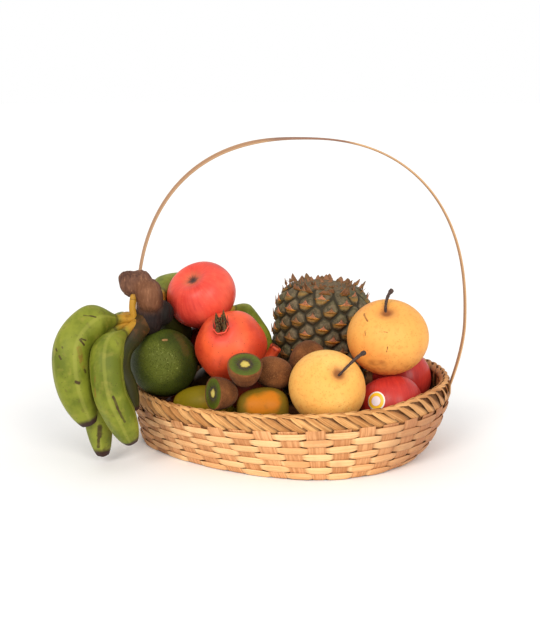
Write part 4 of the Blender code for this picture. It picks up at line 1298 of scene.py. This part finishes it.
def pineapple_finish():
    """Grey-green eyes in dark grooves, the lower lip of each turned orange."""
    skin = Finish("pineapple_skin", 0.3)
    cloud, fine, up = skin.grain(120.0, 4.0), skin.grain(500.0), skin.value("up")
    skin.ground(cloud.rise(0.35, 0.68), (68, 60, 40), (108, 94, 70))
    skin.lay(fine.rise(0.52, 0.70) * 0.40, (148, 130, 96))
    skin.lay(up.rise(-0.75, -0.45) * up.fall(-0.45, -0.05) * 0.70, (158, 112, 36))
    skin.lay(skin.grain(34.0).rise(0.45, 0.62) * 0.25, (66, 84, 40))
    hair = skin.grain(1300.0, 2.0, skin.upright(0.22))
    skin.lay(hair.rise(0.54, 0.70) * 0.45, (150, 128, 100))
    skin.lay(skin.value("seam").fall(0.05, 0.66) * 0.92, (42, 36, 20))
    cut_top = skin.value("cut_top")
    skin.lay(cut_top, (58, 44, 26))
    skin.lay(cut_top * fine.rise(0.35, 0.65), (122, 98, 58))
    return skin.coat(fine * 0.15 + 0.60, fine * 0.5 + cloud * 0.6, 0.0010)


def build_bracts():
    """The bract on each eye: a wide orange lip drawn up into a small spike."""
    shape, draw = Shape(), random.Random("bracts")
    rise, edge = np.linspace(0, 1, 9)[:, None], ring(10)[None, :]
    for eye_turn, eye_height in pine_eyes():
        radius = float(pine_radius(np.array(eye_height / PINE_HEIGHT)))
        size = draw.uniform(0.8, 1.15)
        half = (0.0074 * (1 - rise) ** 2.6 + 0.0014 * (1 - rise) + 0.0001) * size
        x = half * np.cos(edge)
        lift = 0.0009 * (1 - rise) ** 0.5 * np.sin(edge)
        stand = 0.0004 + 0.0022 * rise ** 1.5 * draw.uniform(0.4, 1.3) - 9.0 * x ** 2
        z = eye_height - 0.0036 * size + 0.0100 * size * rise + 26.0 * x ** 2 * (1 - rise)
        turn = eye_turn + x / radius + draw.uniform(-0.02, 0.02) * rise
        grid = about_stem(radius + lift + stand, turn, z)
        shape.skin(grid, rise=rise, tone=draw.uniform(0, 1))
    return make_pineapple(shape, "pineapple_bracts", bract_finish("pineapple_bracts", 0.05))


def bract_finish(name, dryness):
    bract = Finish(name, 0.2)
    grain = bract.grain(700.0)
    height = bract.value("rise") + grain * 0.3
    bract.ground(height.rise(0.20, 0.55), (196, 128, 34), (188, 124, 92))
    bract.lay(bract.value("tone").rise(0.45, 0.9) * 0.55, (112, 92, 50))
    bract.lay(height.rise(0.75, 1.1), (98, 64, 44))
    bract.lay(grain.fall(0.38, 0.52) * 0.55, (84, 50, 32))
    bract.lay(dryness, (92, 74, 42))
    return bract.coat(grain * 0.1 + 0.6, grain)


def build_crown_stub():
    """The dried bracts round the pineapple's cut top, and a wisp."""
    shape, draw = Shape(), random.Random("crown stub")
    edge, shares = ring(8)[None, :], np.linspace(0, 1, 8)[:, None]
    for k in range(STUB_BRACTS):
        turn = k * GOLDEN_TURN
        out = np.array((math.cos(turn), math.sin(turn), 0))
        root = out * PINE_RADIUS * math.sqrt(draw.uniform(0.03, 0.66))
        height = draw.uniform(0.0045, 0.0095)
        tip = root + out * height * draw.uniform(-0.2, 1.0) + (0, 0, height)
        line = lerp(root, tip, shares) + out * 0.002 * shares * (1 - shares)
        side = np.cos(edge) * (draw.uniform(0.0034, 0.0062) * (1 - shares) ** 0.7 + 0.0002)
        lift = np.sin(edge) * 0.0007 * (1.2 - shares)
        line += (0, 0, PINE_HEIGHT - 0.0025)
        grid = swept(line, (-out[1], out[0], 0), out, side, lift)
        shape.skin(grid, rise=shares * 0.8, tone=draw.random())
    wisp = ((-0.022, -0.030, 0.1600), (-0.034, -0.032, 0.1665), (-0.048, -0.032, 0.1700))
    grid = tube(catmull(wisp, 14), np.linspace(0.0009, 0.0002, 15), 6)
    shape.skin(grid, rise=1.0, tone=0.6)
    return make_pineapple(shape, "pineapple_crown_stub", bract_finish("pineapple_stub", 0.55))


def build_pomegranate(name, centre, axis, half_width, half_height):
    """A round fruit with soft facets, drawn up into the tube of its calyx."""
    hidden = name == "pomegranate_back"
    reach, tall, slim = BARE_CALYX if hidden else OPEN_CALYX
    placing = facing(centre, axis)
    bands, columns = 60, 96
    turn = ring(columns)[None, :]
    band = np.linspace(math.pi - 0.01, CALYX_BAND, bands)[:, None]
    out = half_width * np.sin(band) * (1 + 0.018 * np.cos(6 * turn) * np.sin(band))
    body = about_stem(out, turn, half_height * np.cos(band))
    rows = [body * (1 + waves(body, name, 0.05) * 0.0006 / half_width)[..., None]]
    shoulder = half_height * math.cos(CALYX_BAND)
    for radius, height in CALYX_RINGS:
        flare = slim * CALYX_RADIUS * radius * (1 + 0.05 * np.cos(SEPALS * turn))
        rows.append(about_stem(flare, turn, shoulder + tall * height * CALYX_HEIGHT))
    band = np.concatenate([band, np.full((len(CALYX_RINGS), 1), 0.1)])
    shape = Shape()
    shape.skin(np.concatenate(rows), band=band, turn=turn)
    # The hidden pomegranate takes painted shade.
    finish = pomegranate_finish(name + "_skin", 0.8 if hidden else 0.0)
    shape.make(name + "_skin", "pomegranate_skin", name, finish=finish, placing=placing)
    build_calyx(name, placing, shoulder, reach, tall, slim)


def build_calyx(name, placing, shoulder, reach, tall, slim):
    """The sepals that stand on the calyx, and the stamens inside."""
    shape, draw = Shape(), random.Random(name)
    edge, s = ring(10)[None, :], np.linspace(0, 1, 10)[:, None]
    upward = np.array(placing.inverted().to_3x3() @ Vector((0.0, 0.15, 1.0)))
    foot = shoulder + (0.60 * tall - 0.18) * CALYX_HEIGHT
    for around in ring(SEPALS):
        out_way = np.array([math.cos(around), math.sin(around), 0.0])
        lean = draw.uniform(-0.10, 0.16)
        length = 0.80 * CALYX_HEIGHT * draw.uniform(0.85, 1.1) * reach
        line = out_way * (slim * CALYX_RADIUS * 0.96 + lean * length * s)
        line = line + np.array([0, 0, 1]) * (foot + 0.45 * length * s)
        line = line + upward * 0.85 * length * s ** 1.3
        side = (0.0040 * (1 - s) ** 0.75 + 0.0002) * np.cos(edge)
        lift = 0.0007 * (1 - 0.6 * s) * np.sin(edge)
        side_way = (-out_way[1], out_way[0], 0.0)
        shape.skin(swept(line, side_way, out_way, side, lift), share=s)
    foot = shoulder + (0.60 * tall - 0.30) * CALYX_HEIGHT
    for k in range(STAMENS):
        around = k * GOLDEN_TURN
        off = slim * CALYX_RADIUS * 0.80 * math.sqrt((k + 0.5) / STAMENS)
        root = Vector((off * math.cos(around), off * math.sin(around), foot))
        tip = root + Vector(upward) * draw.uniform(0.006, 0.012) * reach + Vector((0, 0, 0.004))
        line = [root.lerp(tip, share) for share in np.linspace(0, 1, 4)]
        shape.skin(tube(line, [0.0006, 0.0005, 0.0005, 0.0008], 6), share=0.8)
    finish = calyx_finish(name, 0.30 if reach > 0.5 else 1.4)
    return shape.make(name + "_calyx", "pomegranate_skin", name, finish=finish, placing=placing)


def calyx_finish(name, red_until):
    """Dry brown sepals, red from their base up to this share of their length."""
    dry = Finish(name + "_calyx", 0.3)
    grain = dry.grain(420.0)
    dry.ground(grain.rise(0.35, 0.65), (56, 38, 20), (106, 76, 38))
    dry.lay(dry.value("share").fall(0.02, red_until) * 0.9, (196, 56, 34))
    return dry.coat(grain * 0.1 + 0.6, grain)


def build_kiwi_half(name, centre, axis, half_width, length):
    """The furry end behind the cut, the cut face with its flesh and core, and the seeds."""
    placing, turn = facing(centre, axis), ring(72)[None, :]
    band = np.linspace(math.pi / 2, math.pi - 0.02, 36)[:, None]
    body = about_stem(half_width * np.sin(band) ** 0.85, turn, length * np.cos(band) - 0.0006)
    rim = about_stem(half_width - 0.0003, turn, -0.0001)
    inner = rim * np.array([0.5, 0.5, 1.0]) + np.array([0, 0, -0.0012])
    shape = Shape()
    shape.skin(np.concatenate([inner, rim, body]))
    furry = kiwi_skin_finish(name + "_skin")
    shape.make(name + "_skin", "kiwi_skin", name, finish=furry, placing=placing)
    reach = np.linspace(0.985, 0.02, 34)[:, None]
    rays = 0.00012 * np.cos(24 * turn) * np.exp(-(((reach - 0.6) / 0.25) ** 2))
    dome = 0.0006 * (1 - reach ** 2) + rays
    top = about_stem(half_width * reach, turn, dome - 0.0004)
    under = about_stem(half_width * reach[:1], turn, -0.0016)
    flesh = Shape()
    flesh.skin(np.concatenate([under, top]), reach=np.concatenate([reach[-1:], reach]))
    cut = kiwi_flesh_finish(name)
    flesh.make(name + "_flesh", "kiwi_skin", name, finish=cut, placing=placing)
    seeds, draw = Shape(), random.Random(name)
    for k in range(KIWI_SEEDS):
        way = Vector((math.cos(k * GOLDEN_TURN), math.sin(k * GOLDEN_TURN), 0))
        root = way * half_width * draw.uniform(0.30, 0.44) + Vector((0, 0, 0.0001))
        line = [root + way * off for off in (-0.0008, -0.0004, 0.0, 0.0005, 0.0008)]
        seeds.skin(tube(line, [0.0001, 0.0004, 0.0005, 0.0003, 0.0001], 6))
    seed = Finish(name + "_seed", Roughness=0.35)
    seed.ground(seed.grain(900.0), (24, 18, 16), (56, 40, 34))
    return seeds.make(name + "_seeds", "kiwi_skin", name, finish=seed.coat(), placing=placing)


def kiwi_flesh_finish(name):
    """Green flesh, darker round the seeds, and a cream core."""
    flesh = Finish(name + "_flesh", 0.25, Subsurface_Weight=0.15, Subsurface_Scale=0.002)
    cloud, lumps = flesh.grain(300.0), flesh.grain(170.0, 2.0)
    flesh.bands(
        flesh.value("reach") + (lumps - 0.5) * 0.34 + (cloud - 0.5) * 0.14,
        (0.0, (206, 190, 104)),
        (0.20, (190, 168, 78)),
        (0.28, (84, 72, 34)),
        (0.44, (66, 62, 26)),
        (0.60, (70, 80, 20)),
        (0.86, (86, 96, 22)),
        (0.96, (78, 82, 24)),
        (1.0, (92, 60, 30)),
    )
    return flesh.coat(cloud * 0.2 + 0.22, cloud)


def build_basket():
    # The last colour of each straw is its grime, also laid as painted shade.
    weft = split_straw("straw_weft", (246, 200, 144), (222, 160, 104), (140, 86, 48))
    stake = split_straw("straw_stake", (232, 172, 118), (186, 126, 78), (104, 62, 34), 420)
    plait = split_straw("straw_plait", (232, 176, 112), (176, 118, 64), (58, 32, 18), ends=0.32)
    build_weft(weft)
    for build in (build_stakes, build_lining, build_floor_mat):
        build(stake)
    for build in (build_border_core, build_border_strands, build_border_cord):
        build(plait)


def build_camera():
    lens = bpy.data.cameras.new("camera")
    lens.lens, lens.sensor_width, lens.sensor_fit = LENS_MM, SENSOR_MM, "AUTO"
    lens.clip_start, lens.clip_end = 0.05, 30.0
    camera = in_scene("camera", lens)
    camera.location = EYE
    camera.rotation_euler = (AIM - EYE).to_track_quat("-Z", "Y").to_euler()
    bpy.context.scene.camera = camera


def add_soft_sun(name, way, strength):
    light = bpy.data.lights.new(name, "SUN")
    light.energy, light.angle, light.color = strength, SUN_SPREAD, SUN_COLOUR
    lamp = in_scene(name, light)
    lamp.rotation_euler = Vector(way).to_track_quat("-Z", "Y").to_euler()


def build_studio():
    """A pale floor, a white surround, and soft light from the left front and the right front."""
    shape = Shape()
    reach = np.array((0.02, GROUND_RADIUS, GROUND_RADIUS, 0.02))[:, None]
    depth = np.array((GROUND_Z, GROUND_Z, -GROUND_DEPTH, -GROUND_DEPTH))[:, None]
    shape.skin(about_stem(reach, ring(64)[None, :], depth))
    pale = Finish("floor", 0.1, Roughness=0.9)
    pale.ground(pale.grain(3.0) * 0.2, (250, 250, 250), (244, 244, 244))
    mesh = bpy.data.meshes.new("floor")
    mesh.from_pydata(np.concatenate(shape.points), [], shape.faces)
    mesh.materials.append(pale.coat())
    floor = in_scene("floor", mesh)
    world = bpy.data.worlds.new("studio")
    world.use_nodes = True
    nodes, links = world.node_tree.nodes, world.node_tree.links
    surround = nodes["Background"]
    surround.inputs["Color"].default_value = (1, 1, 1, 1)
    strength = nodes.new("ShaderNodeMapRange")
    strength.inputs["To Min"].default_value = SURROUND_STRENGTH
    strength.inputs["To Max"].default_value = SEEN_STRENGTH
    seen = nodes.new("ShaderNodeLightPath").outputs["Is Camera Ray"]
    links.new(seen, strength.inputs["Value"])
    links.new(strength.outputs["Result"], surround.inputs["Strength"])
    bpy.context.scene.world = world
    add_soft_sun("left_front", (0.55, 1.0, -0.75), 1.25)
    add_soft_sun("right_front", (-0.50, 1.0, -0.60), 1.15)
    bpy.context.scene.view_settings.view_transform = "Standard"


def main():
    build_camera()
    build_basket()
    build_handle()
    build_heap()
    for name, spec in POMEGRANATES.items():
        build_pomegranate(name, *spec)
    for name, spec in KIWI_HALVES.items():
        build_kiwi_half(name, *spec)
    build_pineapple()
    build_bracts()
    build_crown_stub()
    for name, spec in BANANAS.items():
        build_banana(name, *spec)
    build_dried_crown()
    build_studio()


main()
